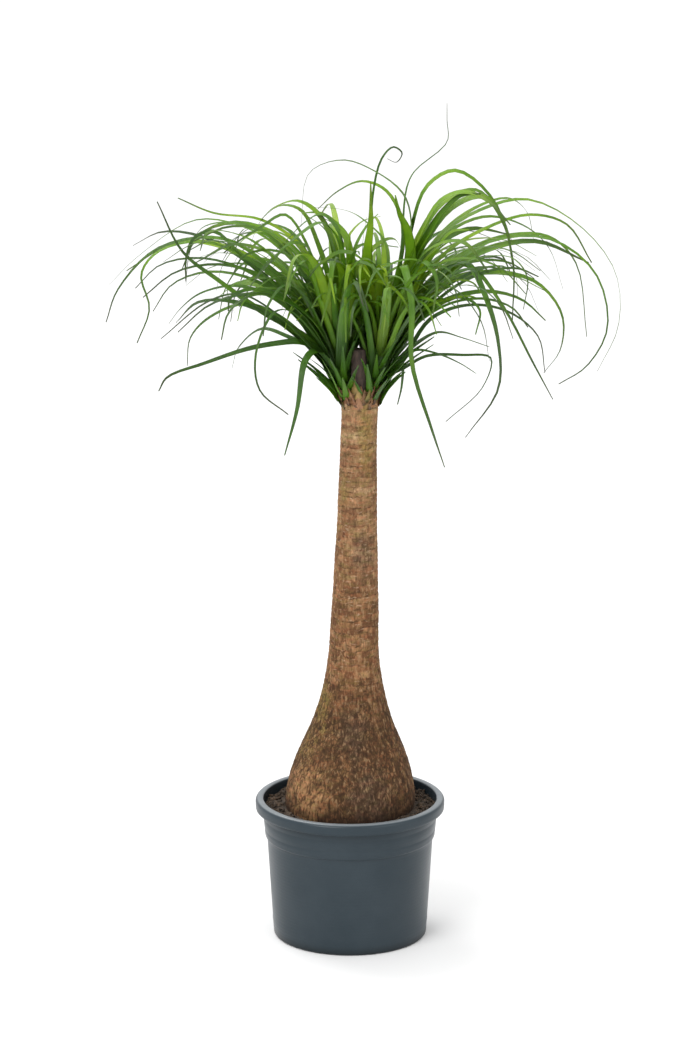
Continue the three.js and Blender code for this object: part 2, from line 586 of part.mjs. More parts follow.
const palm = new THREE.Group();
palm.add(
  named('pot', makePot(), 0x424b50, 0.45),
  named('soil', makeSoil(), 0x2d2624, 0.95),
  named('trunk', makeTrunk(), 0x8b6a4a, 0.85),
  named('leaves_left', makeHead(LEFT_HEAD, LEFT_LEAVES), 0x4f7a2c, 0.5),
  named('leaves_right', makeHead(RIGHT_HEAD, RIGHT_LEAVES), 0x54802e, 0.5),
);

export default palm;
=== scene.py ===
import bisect
import math

import bmesh
import bpy
import numpy as np
from mathutils import Matrix, Vector, noise


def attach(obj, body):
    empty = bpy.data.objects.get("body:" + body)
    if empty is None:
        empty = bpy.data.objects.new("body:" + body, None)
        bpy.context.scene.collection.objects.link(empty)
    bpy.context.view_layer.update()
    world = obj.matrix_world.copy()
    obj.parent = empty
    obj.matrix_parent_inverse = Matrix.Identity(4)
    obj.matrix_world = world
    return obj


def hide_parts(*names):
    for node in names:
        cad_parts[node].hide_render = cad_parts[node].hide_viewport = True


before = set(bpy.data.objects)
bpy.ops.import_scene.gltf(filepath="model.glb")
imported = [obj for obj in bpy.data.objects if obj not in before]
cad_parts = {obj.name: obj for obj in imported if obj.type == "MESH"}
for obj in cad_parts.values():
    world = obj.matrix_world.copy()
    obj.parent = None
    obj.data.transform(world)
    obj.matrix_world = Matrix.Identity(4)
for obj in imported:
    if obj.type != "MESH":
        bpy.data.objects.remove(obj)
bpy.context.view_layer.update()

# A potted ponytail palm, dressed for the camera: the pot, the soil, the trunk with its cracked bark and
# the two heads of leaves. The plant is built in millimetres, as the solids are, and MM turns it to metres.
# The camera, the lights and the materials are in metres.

MM = 0.001
UP = Vector((0, 0, 1))
GOLDEN_SHARE = 0.618034

# The photograph's frame and the camera that matches it
PHOTO_WIDTH = 700
PHOTO_HEIGHT = 1045
CAMERA_DISTANCE = 6.0
CAMERA_HEIGHT = 2.1295
CAMERA_PITCH = 14.84
CAMERA_REACH = 200
FOCAL_PIXELS = 4960.6
SENSOR_MM = 36.0

# The floor's size and the lights: (name, place, size, power)
FLOOR_SIZE = 60
WORLD_STRENGTH = 1.06
LIGHT_AIM = Vector((0, 0, 0.55))
LIGHTS = [
    ("key", (-2.2, -3.3, 4.0), 2.6, 150),
    ("fill", (2.8, -2.6, 2.0), 2.5, 30),
    ("back", (-1.6, 2.0, 3.8), 2.2, 75),
]

# The pot, as in the solids
LIP_RADIUS = 120
LIP_ROUNDING = 5
POT_HEIGHT = 180
POT_WALL = 1.6
SKIRT_BOTTOM = 166
COLLAR_RADIUS = 111
COLLAR_BOTTOM = 131
COLLAR_BOTTOM_RADIUS = 107.8
BODY_TOP = 129
BODY_TOP_RADIUS = 105.3
BASE_RADIUS = 97.3
BASE_ROUNDING = 3.5
PAD_RADIUS = 40
FOOT_RADIUS = 72
FLOOR_RISE = 5
DRAIN_HOLES = 8
DRAIN_HOLE_RADIUS = 5
DRAIN_CIRCLE = 56

# The pot's finer forms. Places at the lip are given inward from its outside and down from its top.
POT_SIDES = 144
LIP_UNDERSIDE = [(8, 6), (7.4, 3.6), (6.4, 3.2), (4.5, 3.2), (3.2, 4), (2.6, 7), (1.8, 13.6), (1.5, 14),
    (0.9, 14), (0.5, 13.6), (0.2, 11)]
LIP_INSIDE = [(7, 0), (9, 0.1), (9.8, 0.7), (10.2, 1.6), (10.4, 4)]
COLLAR_HEIGHTS = (137, 140, 140.8, 141.6, 148, 154, 154.8, 155.6, 160, 164, SKIRT_BOTTOM)
COLLAR_GROOVES = (140.8, 154.8)
GROOVE_DEPTH = 0.35
BEAD_STEP = 3
BEAD_HEIGHT = 0.35

# The soil
SOIL_LEVEL = 168
SOIL_BOTTOM = 7
SOIL_SIDES = 180
SOIL_TOP_RINGS = 27
SOIL_INNER_RADIUS = 66
CRUMBS = 750
CRUMB_SEED = 5

# The trunk, as in the solids: its outline as (height, radius), its lean and its fork
TRUNK_OUTLINE = [
    (70, 24), (100, 50), (125, 68), (150, 78), (172, 81.5), (192, 80.5), (212, 77), (228, 72.5), (244, 66.5),
    (260, 59.5), (276, 52.5), (292, 47), (308, 42.5), (334, 36.5), (360, 32.5), (387, 30.5), (439, 29.2),
    (491, 27.2), (530, 25.2), (570, 24.2), (620, 23.2), (672, 22), (709, 23),
]
TRUNK_LEAN = 13
ROOT_BOTTOM = 70
TRUNK_TOP = 709
TRUNK_DOME = 7
FORK_BOTTOM = 670
FORK_TOP = 716
FORK_ARM_RADIUS = 11.5
FORK_SPLAY = 16
STUB_TOP = 766
STUB_RADIUS = 9.5
STUB_PLACE = (11, -12)

# The bark. Its plates come in rows from PLATES_BOTTOM up, and grow broader on the slender upper neck. A
# stain is (strength, middle, reach).
BARK_SEED = 7
BARK_SIDES = 224
BURIED_RINGS = 12
BARK_RINGS = 386
DOME_RINGS = [(0.93, 2.2), (0.75, 4.2), (0.4, 6.2)]
PLATES_BOTTOM = 270
SLENDER_HEIGHTS = (500, 640)
STAINS = {
    # The ochre stain: partly the bark's own colour, partly painted light on the base's lit left flank
    "orange": [(1.0, (-52, -48, 194), (38, 60, 56))],
    "grey": [(1.0, (26, -70, 200), (34, 60, 50)), (0.9, (4, -52, 275), (26, 40, 36)),
        (0.8, (18, -28, 505), (20, 30, 42))],
    "olive": [(0.9, (-38, -20, 312), (15, 60, 42)), (0.45, (-56, -20, 262), (20, 60, 40)),
        (1.0, (20, -16, 655), (11, 26, 62)), (0.8, (-12, -26, 590), (13, 22, 40))],
}

# The leaves, as in the solids
WIDTH_TAPER = 0.85
CHANNEL_DEPTH = 0.2
CORE_LENGTH = 86
CORE_FOOT_RADIUS = 11
CORE_RADIUS = 18
ROOT_RISE = 54
ROOT_OFFSET = 9
CROWN_BOTTOM = 760
BOTTOM_SCATTER = 110
FRONT_LIFT = 0.3
LIFT_GROWTH = 1.2
LEAST_DROOP = 90
BLADE_TWIST = 0.7
TWIST_STEP = 2.4
TWIST_START = 1
FOOT_TURN = 0.6
DEPTH_GROWTH = 1.15
LEFT_HEAD = {"foot_x": -7, "lean": -13, "side": 180, "fillers": 10, "seed": 373}
RIGHT_HEAD = {"foot_x": 29, "lean": 12, "side": 0, "fillers": 9, "seed": 91}

# The leaves' finer forms: their section across, their tips, their thickness and the small parts at a foot
BLADE_SECTION = (-1.0, -0.72, -0.36, 0.0, 0.36, 0.72, 1.0, 0.72, 0.36, 0.0, -0.36, -0.72)
UPPER_POINTS = 7
BLADE_STEPS = 30
SHORT_BLADE_STEPS = 20
HAIR_WIDTH = 1.5
HALF_THICKNESS = 0.55
WORN_LENGTHS = (190, 300)
LEAF_FULLNESS = 1.4
BETWEEN_LEAVES = 60
LEAF_BASES = 24
LEAF_BASE_SPREAD = 230
HUSKS = 18
HUSK_SPREAD = 190
CORE_FOLDS = 11

# Leaves that a rule places, with angles in degrees: the filling leaves follow those of the solids, and the
# finer ones between them grow all round a head, shorter and more upright on its inner side
FILLING = {
    "steps": 4, "spread": 200, "turn_scatter": 14, "rise": 86, "fall": 40, "rise_scatter": 12,
    "droop_scatter": 60, "droop_growth": 1.6, "length": 250, "older_longer": 0, "length_scatter": 110,
    "bend": 50, "inner_upright": 0, "inner_shorter": 0, "twist": BLADE_TWIST,
    "width": 12 * LEAF_FULLNESS, "width_scatter": 5 * LEAF_FULLNESS,
}
BETWEEN = {
    "steps": 6, "spread": 360, "turn_scatter": 20, "rise": 88, "fall": 30, "rise_scatter": 10,
    "droop_scatter": 70, "droop_growth": 1.5, "length": 170, "older_longer": 60, "length_scatter": 150,
    "bend": 90, "inner_upright": 0.75, "inner_shorter": 0.4, "twist": 0.8,
    "width": 8, "width_scatter": 7,
}

# The leaves that give the crown its outline, as in the solids: (age, width, depth of the tip, places)
LEFT_LEAVES = [
    (0.45, 9, 40, [(-40, 825), (-80, 880), (-125, 910), (-190, 920), (-260, 875), (-300, 835)]),
    (0.55, 10, -40, [(-45, 810), (-90, 860), (-155, 905), (-235, 895), (-285, 845), (-300, 805)]),
    (0.65, 8, -90, [(-55, 815), (-115, 875), (-180, 905), (-235, 895), (-255, 870), (-245, 830),
        (-260, 790)]),
    (0.50, 9, 70, [(-45, 830), (-100, 900), (-150, 915), (-185, 905), (-200, 870), (-205, 830)]),
    (0.75, 12, -60, [(-50, 775), (-110, 815), (-160, 855), (-205, 895), (-235, 960)]),
    (0.70, 10, 20, [(-45, 780), (-95, 825), (-140, 840), (-185, 830), (-210, 810), (-225, 790)]),
    (0.80, 10, -110, [(-45, 765), (-90, 815), (-135, 845), (-175, 840), (-230, 800)]),
    (0.80, 9, 90, [(-45, 760), (-85, 795), (-130, 810), (-175, 790), (-200, 760), (-205, 720)]),
    (0.40, 11, 115, [(-30, 810), (-50, 865), (-75, 900), (-110, 905), (-140, 885), (-160, 850)]),
    (0.85, 8, -130, [(-45, 785), (-75, 820), (-95, 820), (-115, 775), (-110, 735), (-75, 710)]),
    (0.98, 13, -115, [(-40, 765), (-55, 760), (-65, 705), (-80, 655)]),
    (0.25, 14, 30, [(-20, 810), (-20, 885), (-40, 930), (-65, 945), (-95, 935), (-110, 920)]),
    (0.95, 11, -70, [(-35, 760), (-60, 775), (-95, 775), (-130, 770), (-180, 755), (-225, 740),
        (-235, 725)]),
    (0.20, 14, -95, [(-10, 840), (-15, 905), (-35, 930), (-60, 920), (-95, 890), (-115, 870)]),
    (0.50, 9, 150, [(-30, 805), (-55, 860), (-85, 885), (-125, 890), (-155, 870), (-185, 840)]),
    (0.30, 8, 90, [(-25, 820), (-60, 885), (-110, 915), (-170, 920), (-215, 935)]),
    (0.05, 12, 10, [(-10, 810), (-15, 865), (-30, 910), (-55, 930)]),
    (0.30, 14, -150, [(-10, 815), (-10, 870), (-20, 890), (-25, 860), (-35, 825)]),
    (0.15, 15, -130, [(0, 810), (0, 860), (0, 885), (-5, 865), (-5, 800)]),
    (0.70, 11, -140, [(-35, 790), (-60, 845), (-80, 860), (-100, 840), (-105, 810)]),
    (0.90, 9, 140, [(-40, 755), (-75, 765), (-110, 770), (-140, 740), (-150, 705)]),
    (0.35, 10, -20, [(-25, 820), (-55, 880), (-85, 910), (-120, 910), (-155, 875), (-165, 840)]),
    (0.20, 13, -60, [(-5, 775), (0, 830), (0, 880), (0, 920)]),
    (0.10, 12, 40, [(0, 780), (5, 835), (5, 880), (20, 910), (35, 925)]),
    (0.50, 12, -120, [(-20, 770), (-35, 825), (-45, 865), (-55, 890), (-70, 875), (-80, 850)]),
    (0.45, 12, -90, [(-20, 775), (-30, 830), (-40, 875), (-55, 905), (-75, 910), (-95, 890)]),
    (0.30, 11, 60, [(-20, 785), (-25, 840), (-40, 890), (-60, 930), (-85, 935), (-110, 915), (-125, 880)]),
    (0.15, 16, 20, [(-10, 810), (0, 865), (-5, 900), (-15, 915), (-35, 930), (-60, 930)]),
    (0.55, 9, 90, [(-30, 785), (-60, 830), (-100, 865), (-130, 860), (-155, 825), (-165, 780)]),
    (0.30, 11, 20, [(-20, 800), (-10, 860), (-15, 910), (-35, 930), (-55, 920), (-85, 890),
        (-120, 860), (-145, 830)]),
    (0.40, 9, -30, [(-30, 795), (-40, 850), (-55, 900), (-80, 935), (-110, 920), (-135, 905), (-155, 890)]),
    (0.60, 9, -60, [(-35, 775), (-65, 815), (-90, 845), (-120, 875), (-145, 900), (-170, 910),
        (-195, 900)]),
    (0.50, 10, -90, [(-35, 780), (-50, 830), (-65, 870), (-80, 895), (-100, 885), (-120, 860),
        (-135, 835)]),
    (0.60, 11, -80, [(-40, 805), (-70, 835), (-100, 865), (-135, 890), (-165, 920), (-190, 915),
        (-200, 890), (-200, 865)]),
]
RIGHT_LEAVES = [
    (0.30, 10, -30, [(65, 835), (75, 910), (95, 970), (130, 990), (175, 955), (200, 880), (200, 805)]),
    (0.40, 14, 20, [(60, 825), (85, 900), (115, 945), (155, 960), (185, 930), (200, 895)]),
    (0.35, 10, 100, [(65, 820), (100, 885), (145, 925), (195, 940), (220, 920), (230, 880)]),
    (0.50, 9, -65, [(70, 815), (115, 885), (165, 920), (220, 940), (265, 930), (295, 885)]),
    (0.45, 10, 60, [(70, 825), (110, 900), (165, 935), (220, 945), (285, 910), (330, 850), (335, 780),
        (310, 720)]),
    (0.60, 8, -95, [(75, 805), (120, 865), (175, 905), (245, 910), (300, 870), (315, 805), (290, 760),
        (255, 740)]),
    (0.50, 10, 35, [(75, 810), (125, 870), (185, 900), (245, 900), (280, 865), (295, 770)]),
    (0.65, 10, -125, [(80, 800), (115, 855), (145, 885), (195, 895), (215, 875), (210, 840)]),
    (0.65, 10, 115, [(75, 785), (120, 840), (170, 850), (230, 835), (265, 790), (265, 740), (245, 705)]),
    (0.80, 17, -145, [(100, 840), (125, 875), (145, 880), (165, 845), (180, 795), (180, 740), (140, 685)]),
    (0.70, 11, -50, [(95, 830), (125, 870), (150, 870), (190, 820), (225, 755), (250, 710)]),
    (0.85, 8, 75, [(70, 755), (100, 795), (145, 810), (195, 800), (235, 765), (245, 715)]),
    (0.25, 15, -155, [(50, 795), (60, 855), (65, 880), (75, 840), (75, 770), (100, 690), (115, 650)]),
    (0.80, 10, -20, [(65, 770), (105, 820), (140, 830), (160, 815), (155, 785)]),
    (0.90, 9, 65, [(60, 745), (85, 765), (110, 775), (140, 765), (175, 750)]),
    (0.92, 9, -60, [(60, 740), (80, 765), (105, 765), (135, 755), (155, 745)]),
    (0.95, 6, 40, [(65, 735), (95, 750), (140, 750), (175, 745), (165, 705), (120, 660)]),
    (1.00, 8, 90, [(55, 730), (65, 735), (65, 700), (60, 670)]),
    (0.40, 8, 150, [(70, 820), (110, 890), (165, 915), (215, 900), (250, 865), (270, 805)]),
    (0.05, 4, 20, [(30, 811), (26, 886), (28, 955), (39, 1000), (53, 1014), (64, 1006), (57, 994),
        (46, 998)]),
    (0.10, 4, 60, [(60, 835), (65, 905), (70, 960), (80, 980), (120, 1015), (120, 1040), (120, 1060)]),
    (0.20, 13, -40, [(65, 835), (75, 920), (65, 960), (30, 990), (-10, 1005), (-50, 990), (-60, 925)]),
    (0.15, 8, 70, [(55, 835), (65, 915), (45, 955), (15, 965), (-15, 950), (-40, 925)]),
    (0.50, 20, -90, [(20, 840), (20, 885), (25, 935), (25, 990)]),
    (0.20, 7, 110, [(45, 835), (45, 885), (20, 910), (-5, 920), (-55, 920)]),
    (0.15, 17, -120, [(35, 815), (35, 865), (40, 880), (45, 855), (40, 805)]),
    (0.50, 14, -150, [(60, 800), (75, 860), (90, 890), (105, 875), (100, 840)]),
    (0.55, 9, 135, [(70, 820), (90, 880), (115, 895), (150, 890), (190, 870)]),
    (0.15, 12, -30, [(20, 785), (20, 840), (15, 890), (20, 935)]),
    (0.20, 12, 60, [(20, 775), (15, 830), (0, 880), (-20, 910), (-45, 920)]),
    (0.60, 12, -130, [(50, 770), (65, 815), (80, 840), (95, 835), (105, 810)]),
    (0.25, 18, -80, [(50, 830), (80, 895), (110, 955), (140, 970), (170, 960), (195, 935)]),
    (0.30, 16, -50, [(55, 825), (85, 885), (125, 945), (165, 960), (190, 925), (200, 875)]),
    (0.55, 11, -100, [(40, 790), (70, 830), (100, 855), (130, 850), (160, 815), (170, 770)]),
    (0.70, 10, -60, [(60, 780), (80, 805), (100, 825), (125, 835), (145, 840), (155, 840)]),
    (0.65, 10, -80, [(65, 790), (85, 825), (110, 845), (130, 860), (150, 860), (160, 850)]),
    (0.10, 19, -70, [(65, 825), (75, 880), (70, 920), (60, 945), (55, 970)]),
    (0.25, 20, -60, [(70, 825), (80, 880), (100, 920), (115, 945), (135, 965), (160, 970)]),
    (0.20, 16, -100, [(70, 815), (85, 855), (100, 890), (115, 910), (125, 920)]),
    (0.05, 18, -60, [(70, 825), (85, 865), (105, 895), (125, 920), (145, 925)]),
]

# Colours as linear red, green and blue; a ramp is a list of (position, colour)
SLATE = [(0.3, (0.017, 0.028, 0.036)), (0.7, (0.026, 0.038, 0.047))]
# Painted shade at the pot's foot
PAINTED_FOOT_SHADE = (0.008, 0.012, 0.014)
# Painted highlight along the pot's rim
PAINTED_RIM_HIGHLIGHT = (0.180, 0.200, 0.215)
PEAT = [(0.3, (0.017, 0.012, 0.009)), (0.50, (0.056, 0.038, 0.024)), (0.66, (0.128, 0.076, 0.043)),
    (0.8, (0.19, 0.13, 0.080))]
BASE_BARK = [(0.30, (0.045, 0.023, 0.011)), (0.45, (0.092, 0.046, 0.021)), (0.56, (0.135, 0.070, 0.032)),
    (0.70, (0.190, 0.108, 0.050))]
NECK_BARK = [(0.30, (0.160, 0.076, 0.036)), (0.44, (0.250, 0.124, 0.056)), (0.56, (0.330, 0.172, 0.080)),
    (0.70, (0.430, 0.252, 0.126))]
UPWARD_TONE = [(0.0, (0.69, 0.69, 0.71)), (1.0, (0.83, 0.94, 1.04))]
WARMTH = [(0.32, (0.86, 1.0, 0.80)), (0.5, (1, 1, 1)), (0.68, (1.18, 0.97, 0.96))]
BARK_GRAIN = [(0.3, (0.50, 0.46, 0.42)), (0.7, (1.42, 1.38, 1.32))]
STAIN_COLOURS = {
    # The ochre is partly the bark's own colour and partly painted light on the lit left flank
    "orange": (0.78, (0.350, 0.195, 0.092)),
    "grey": (0.55, (0.078, 0.056, 0.043)),
    "olive": (0.55, (0.215, 0.165, 0.045)),
}
PALE_FLECK = (0.30, 0.19, 0.10)
PALE_DASH = (0.60, 0.42, 0.28)
DARK_DASH = (0.028, 0.015, 0.008)
GROOVE_BROWN = (0.045, 0.024, 0.012)
CRACK_BROWN = (0.030, 0.016, 0.008)
# The brown the bark darkens to near the soil line
SOIL_LINE_BROWN = (0.024, 0.014, 0.010)
STUB_WOOD = [(0.3, (0.016, 0.010, 0.008)), (0.7, (0.076, 0.050, 0.036))]
GREENS = [(0.0, (0.016, 0.068, 0.004)), (0.3, (0.052, 0.166, 0.006)), (0.6, (0.128, 0.298, 0.007)),
    (0.85, (0.245, 0.430, 0.009)), (1.0, (0.345, 0.515, 0.012))]
VEIN_GREEN = (0.130, 0.270, 0.014)
EDGE_GREEN = (0.20, 0.33, 0.04)
DUSK_GREEN = (0.018, 0.046, 0.007)
# Painted shade inside the crown, at the leaves' feet
PAINTED_SHADE_GREEN = (0.014, 0.036, 0.008)
LIT_GREEN = (0.26, 0.46, 0.01)
DRY_TIP = (0.060, 0.050, 0.034)
HUSK_BROWNS = [(0.0, (0.085, 0.034, 0.015)), (0.5, (0.240, 0.102, 0.044)), (1.0, (0.390, 0.195, 0.100))]
HUSK_STREAKS = [(0.3, (0.55, 0.50, 0.45)), (0.7, (1.35, 1.35, 1.35))]
# Painted shade at a husk's foot
HUSK_FOOT_SHADE = (0.040, 0.020, 0.009)
# The floor's whites, with painted shade round the plant where the lamps add light
FLOOR_WHITES = [(0.0, (0.77, 0.77, 0.77)), (1.0, (0.98, 0.98, 0.98))]


# Numbers, faces and meshes


def mix(first, second, share):
    """The value a share of the way from the first to the second."""
    return first + (second - first) * share


def smoothstep(value, low, high):
    """0 below low, 1 above high, and a smooth rise between."""
    share = min(max((value - low) / (high - low), 0.0), 1.0)
    return share * share * (3 - 2 * share)


def hermite(start, end, leaving, arriving, share):
    """A place on the cubic from start to end that leaves and arrives with the given slopes."""
    return ((2 * start - 2 * end + leaving + arriving) * share ** 3
        + (-3 * start + 3 * end - 2 * leaving - arriving) * share ** 2 + leaving * share + start)


def seeded_random(seed):
    """The same random draws from 0 to 1 as in the solids."""
    state = seed
    while True:
        state = (state * 1664525 + 1013904223) % 4294967296
        yield state / 4294967296


def round_angles(sides):
    """Equal angles once round."""
    return [2 * math.pi * side / sides for side in range(sides)]


def ring_faces(rings, sides, first=0):
    """Quads between rings of vertices that go round a closed section."""
    faces = []
    for ring in range(rings - 1):
        for side in range(sides):
            after = (side + 1) % sides
            low = first + ring * sides
            high = low + sides
            faces.append((low + side, low + after, high + after, high + side))
    return faces


def tube_faces(first, rings, sides):
    """The faces of a tube of rings, with a flat face at each end."""
    last = first + (rings - 1) * sides
    faces = ring_faces(rings, sides, first)
    faces.append(tuple(first + side for side in reversed(range(sides))))
    faces.append(tuple(last + side for side in range(sides)))
    return faces


def pointed_faces(rings, sides, bottom, top):
    """The faces of rings that close to a bottom and a top vertex."""
    last = (rings - 1) * sides
    faces = ring_faces(rings, sides)
    for side in range(sides):
        after = (side + 1) % sides
        faces.append((bottom, after, side))
        faces.append((top, last + side, last + after))
    return faces


def lathe(profile, sides):
    """Vertices and faces of a closed profile, from the axis to the axis, turned about Z."""
    vertices = []
    for radius, height in profile[1:-1]:
        for angle in round_angles(sides):
            vertices.append((radius * math.cos(angle), radius * math.sin(angle), height))
    bottom = len(vertices)
    vertices.append((0, 0, profile[0][1]))
    vertices.append((0, 0, profile[-1][1]))
    return vertices, pointed_faces(len(profile) - 2, sides, bottom, bottom + 1)


class Shape:
    """A piece's vertices, its faces and the numbers on its vertices while they are gathered."""

    def __init__(self):
        self.vertices = []
        self.faces = []
        self.numbers = {}

    def add(self, x, y, z, **numbers):
        """One vertex, placed in millimetres, with its numbers; its own index is given back."""
        self.vertices.append((x * MM, y * MM, z * MM))
        for label, value in numbers.items():
            self.numbers.setdefault(label, []).append(value)
        return len(self.vertices) - 1

    def finish(self, name, material):
        """The gathered piece as a smooth mesh object at the origin, with its numbers as attributes."""
        mesh = bpy.data.meshes.new(name)
        mesh.from_pydata(self.vertices, [], self.faces)
        mesh.validate()
        mesh.update()
        mesh.materials.append(material)
        mesh.shade_smooth()
        for label, values in self.numbers.items():
            attribute = mesh.attributes.new(label, "FLOAT", "POINT")
            attribute.data.foreach_set("value", values)
        piece = bpy.data.objects.new(name, mesh)
        bpy.context.collection.objects.link(piece)
        return piece


# Node materials


class Paint:
    """A node material with one Principled shader, and short ways to add the nodes that feed it."""

    def __init__(self, name):
        self.material = bpy.data.materials.new(name)
        self.material.use_nodes = True
        self.nodes = self.material.node_tree.nodes
        self.shader = self.nodes["Principled BSDF"]

    def put(self, value, socket):
        """Another node's output linked to a socket, or a plain number, colour or vector set on it."""
        if hasattr(value, "is_linked"):
            self.material.node_tree.links.new(value, socket)
        elif isinstance(value, tuple):
            socket.default_value = (*value, 1)[:len(socket.default_value)]
        else:
            socket.default_value = value

    def add(self, kind, inputs, **settings):
        """A new node with its settings, and with its inputs by name or number."""
        node = self.nodes.new("ShaderNode" + kind)
        for name, value in settings.items():
            setattr(node, name, value)
        for name, value in inputs.items():
            self.put(value, node.inputs[name])
        return node

    def noise(self, place, scale, detail=4.0, roughness=0.55):
        """A noise texture's factor at a place."""
        inputs = {"Vector": place, "Scale": scale, "Detail": detail, "Roughness": roughness}
        return self.add("TexNoise", inputs).outputs[0]

    def cracks(self, place, scale):
        """The distance to the nearest cell border of a Voronoi texture."""
        node = self.add("TexVoronoi", {"Vector": place, "Scale": scale}, feature="DISTANCE_TO_EDGE")
        return node.outputs["Distance"]

    def ramp(self, factor, stops):
        """A colour from a ramp of (position, colour)."""
        node = self.add("ValToRGB", {"Fac": factor})
        elements = node.color_ramp.elements
        while len(elements) < len(stops):
            elements.new(0.5)
        for element, (position, colour) in zip(elements, stops):
            element.position = position
            element.color = (*colour, 1)
        return node.outputs["Color"]

    def mix(self, share, first, second, blend="MIX"):
        """A mix of two colours."""
        inputs = {0: share, 6: first, 7: second}
        return self.add("Mix", inputs, data_type="RGBA", blend_type=blend).outputs[2]

    def work_out(self, operation, *values):
        """A number worked out from others."""
        return self.add("Math", dict(enumerate(values)), operation=operation).outputs[0]

    def times(self, first, second):
        """The product of two numbers."""
        return self.work_out("MULTIPLY", first, second)

    def ease(self, value, from_low, from_high, to_low=0.0, to_high=1.0):
        """A value mapped from one range to another, smoothly, and held at its ends."""
        inputs = {"Value": value, "From Min": from_low, "From Max": from_high}
        inputs |= {"To Min": to_low, "To Max": to_high}
        return self.add("MapRange", inputs, interpolation_type="SMOOTHSTEP").outputs[0]

    def bump(self, height, distance, strength, before=None):
        """A bump from a height; another bump's normal may come before it."""
        inputs = {"Distance": distance, "Strength": strength, "Height": height}
        if before is not None:
            inputs["Normal"] = before
        return self.add("Bump", inputs).outputs["Normal"]

    def place(self, scale=(1, 1, 1)):
        """Object coordinates, stretched."""
        coordinates = self.add("TexCoord", {}).outputs["Object"]
        return self.add("Mapping", {"Vector": coordinates, "Scale": scale}).outputs["Vector"]

    def height(self):
        """The height above the floor."""
        coordinates = self.add("TexCoord", {}).outputs["Object"]
        return self.add("SeparateXYZ", {"Vector": coordinates}).outputs["Z"]

    def attribute(self, name):
        """A number kept on the mesh's vertices."""
        return self.add("Attribute", {}, attribute_name=name).outputs["Fac"]

    def finish(self, inputs):
        """The material, once its shader has its inputs."""
        for name, value in inputs.items():
            self.put(value, self.shader.inputs[name])
        return self.material


def pot_plastic():
    """Slate grey moulded plastic: soft gloss, faint turning rings, painted shade at the foot and a painted
    highlight along the rim.
    """
    paint = Paint("pot_plastic")
    place = paint.place()
    height = paint.height()
    cloud = paint.noise(place, 14, 5)
    colour = paint.ramp(cloud, SLATE)
    # Painted shade: darker toward the foot, where the pot meets the floor
    colour = paint.mix(paint.ease(height, 0.0, 0.014, 0.85, 0.0), colour, PAINTED_FOOT_SHADE)
    # Painted highlight: a pale band along the top of the rim
    colour = paint.mix(paint.ease(height, 0.1784, 0.1799, 0.0, 0.85), colour, PAINTED_RIM_HIGHLIGHT)
    gloss = paint.ease(cloud, 0.3, 0.7, 0.28, 0.4)
    rings = paint.add("TexWave", {"Vector": place, "Scale": 70, "Distortion": 0.6}, bands_direction="Z")
    normal = paint.bump(rings.outputs["Fac"], 0.0004, 0.1)
    normal = paint.bump(paint.noise(place, 900, 3), 0.0002, 0.3, normal)
    return paint.finish({"Base Color": colour, "Specular IOR Level": 0.26, "Roughness": gloss,
        "Normal": normal})


def potting_soil():
    """Dark, damp peat and bark with redder crumbs."""
    paint = Paint("potting_soil")
    place = paint.place()
    coarse = paint.noise(place, 120, 6, 0.7)
    colour = paint.ramp(coarse, PEAT)
    normal = paint.bump(coarse, 0.004, 0.8)
    normal = paint.bump(paint.noise(place, 700, 4, 0.7), 0.001, 0.8, normal)
    return paint.finish({"Base Color": colour, "Roughness": 0.95, "Normal": normal})


def bark():
    """Corky bark: plates and ring scars on the neck, fine upright cracks on the swollen base, stains,
    painted light on the ochre left flank, and darkening near the soil.
    """
    paint = Paint("bark")
    height = paint.height()
    tall = paint.place((1, 1, 0.32))
    cloud = paint.noise(paint.place(), 24, 6, 0.62)
    mottle = paint.noise(paint.place(), 210, 5, 0.7)
    neck = paint.ease(height, 0.27, 0.38)
    colour = plate_colour(paint, height, cloud, neck)
    colour = paint.mix(0.85, colour, paint.ramp(mottle, BARK_GRAIN), "MULTIPLY")
    colour = flecked(paint, colour, height, tall, neck)
    colour = paint.mix(paint.ease(paint.attribute("stands"), 0.15, 0.85, 0.65, 0.0), colour, GROOVE_BROWN)
    net = paint.cracks(tall, 260)
    net_share = paint.times(paint.ease(net, 0.0, 0.14, 0.75, 0.0), paint.ease(cloud, 0.34, 0.56))
    net_share = paint.times(net_share, paint.ease(height, 0.34, 0.50, 1.0, 0.3))
    colour = paint.mix(net_share, colour, CRACK_BROWN)
    # The bark darkens towards the soil line, less so under the ochre flank
    dry = paint.work_out("SUBTRACT", 1.0, paint.times(paint.attribute("orange"), 0.7))
    soil_line_dark = paint.times(paint.ease(height, 0.166, 0.198, 0.78, 0.0), dry)
    colour = paint.mix(soil_line_dark, colour, SOIL_LINE_BROWN)
    normal = paint.bump(net, 0.0012, 0.5)
    normal = paint.bump(mottle, 0.0012, 0.7, normal)
    return paint.finish({"Base Color": colour, "Roughness": 0.9, "Specular IOR Level": 0.15,
        "Normal": normal})


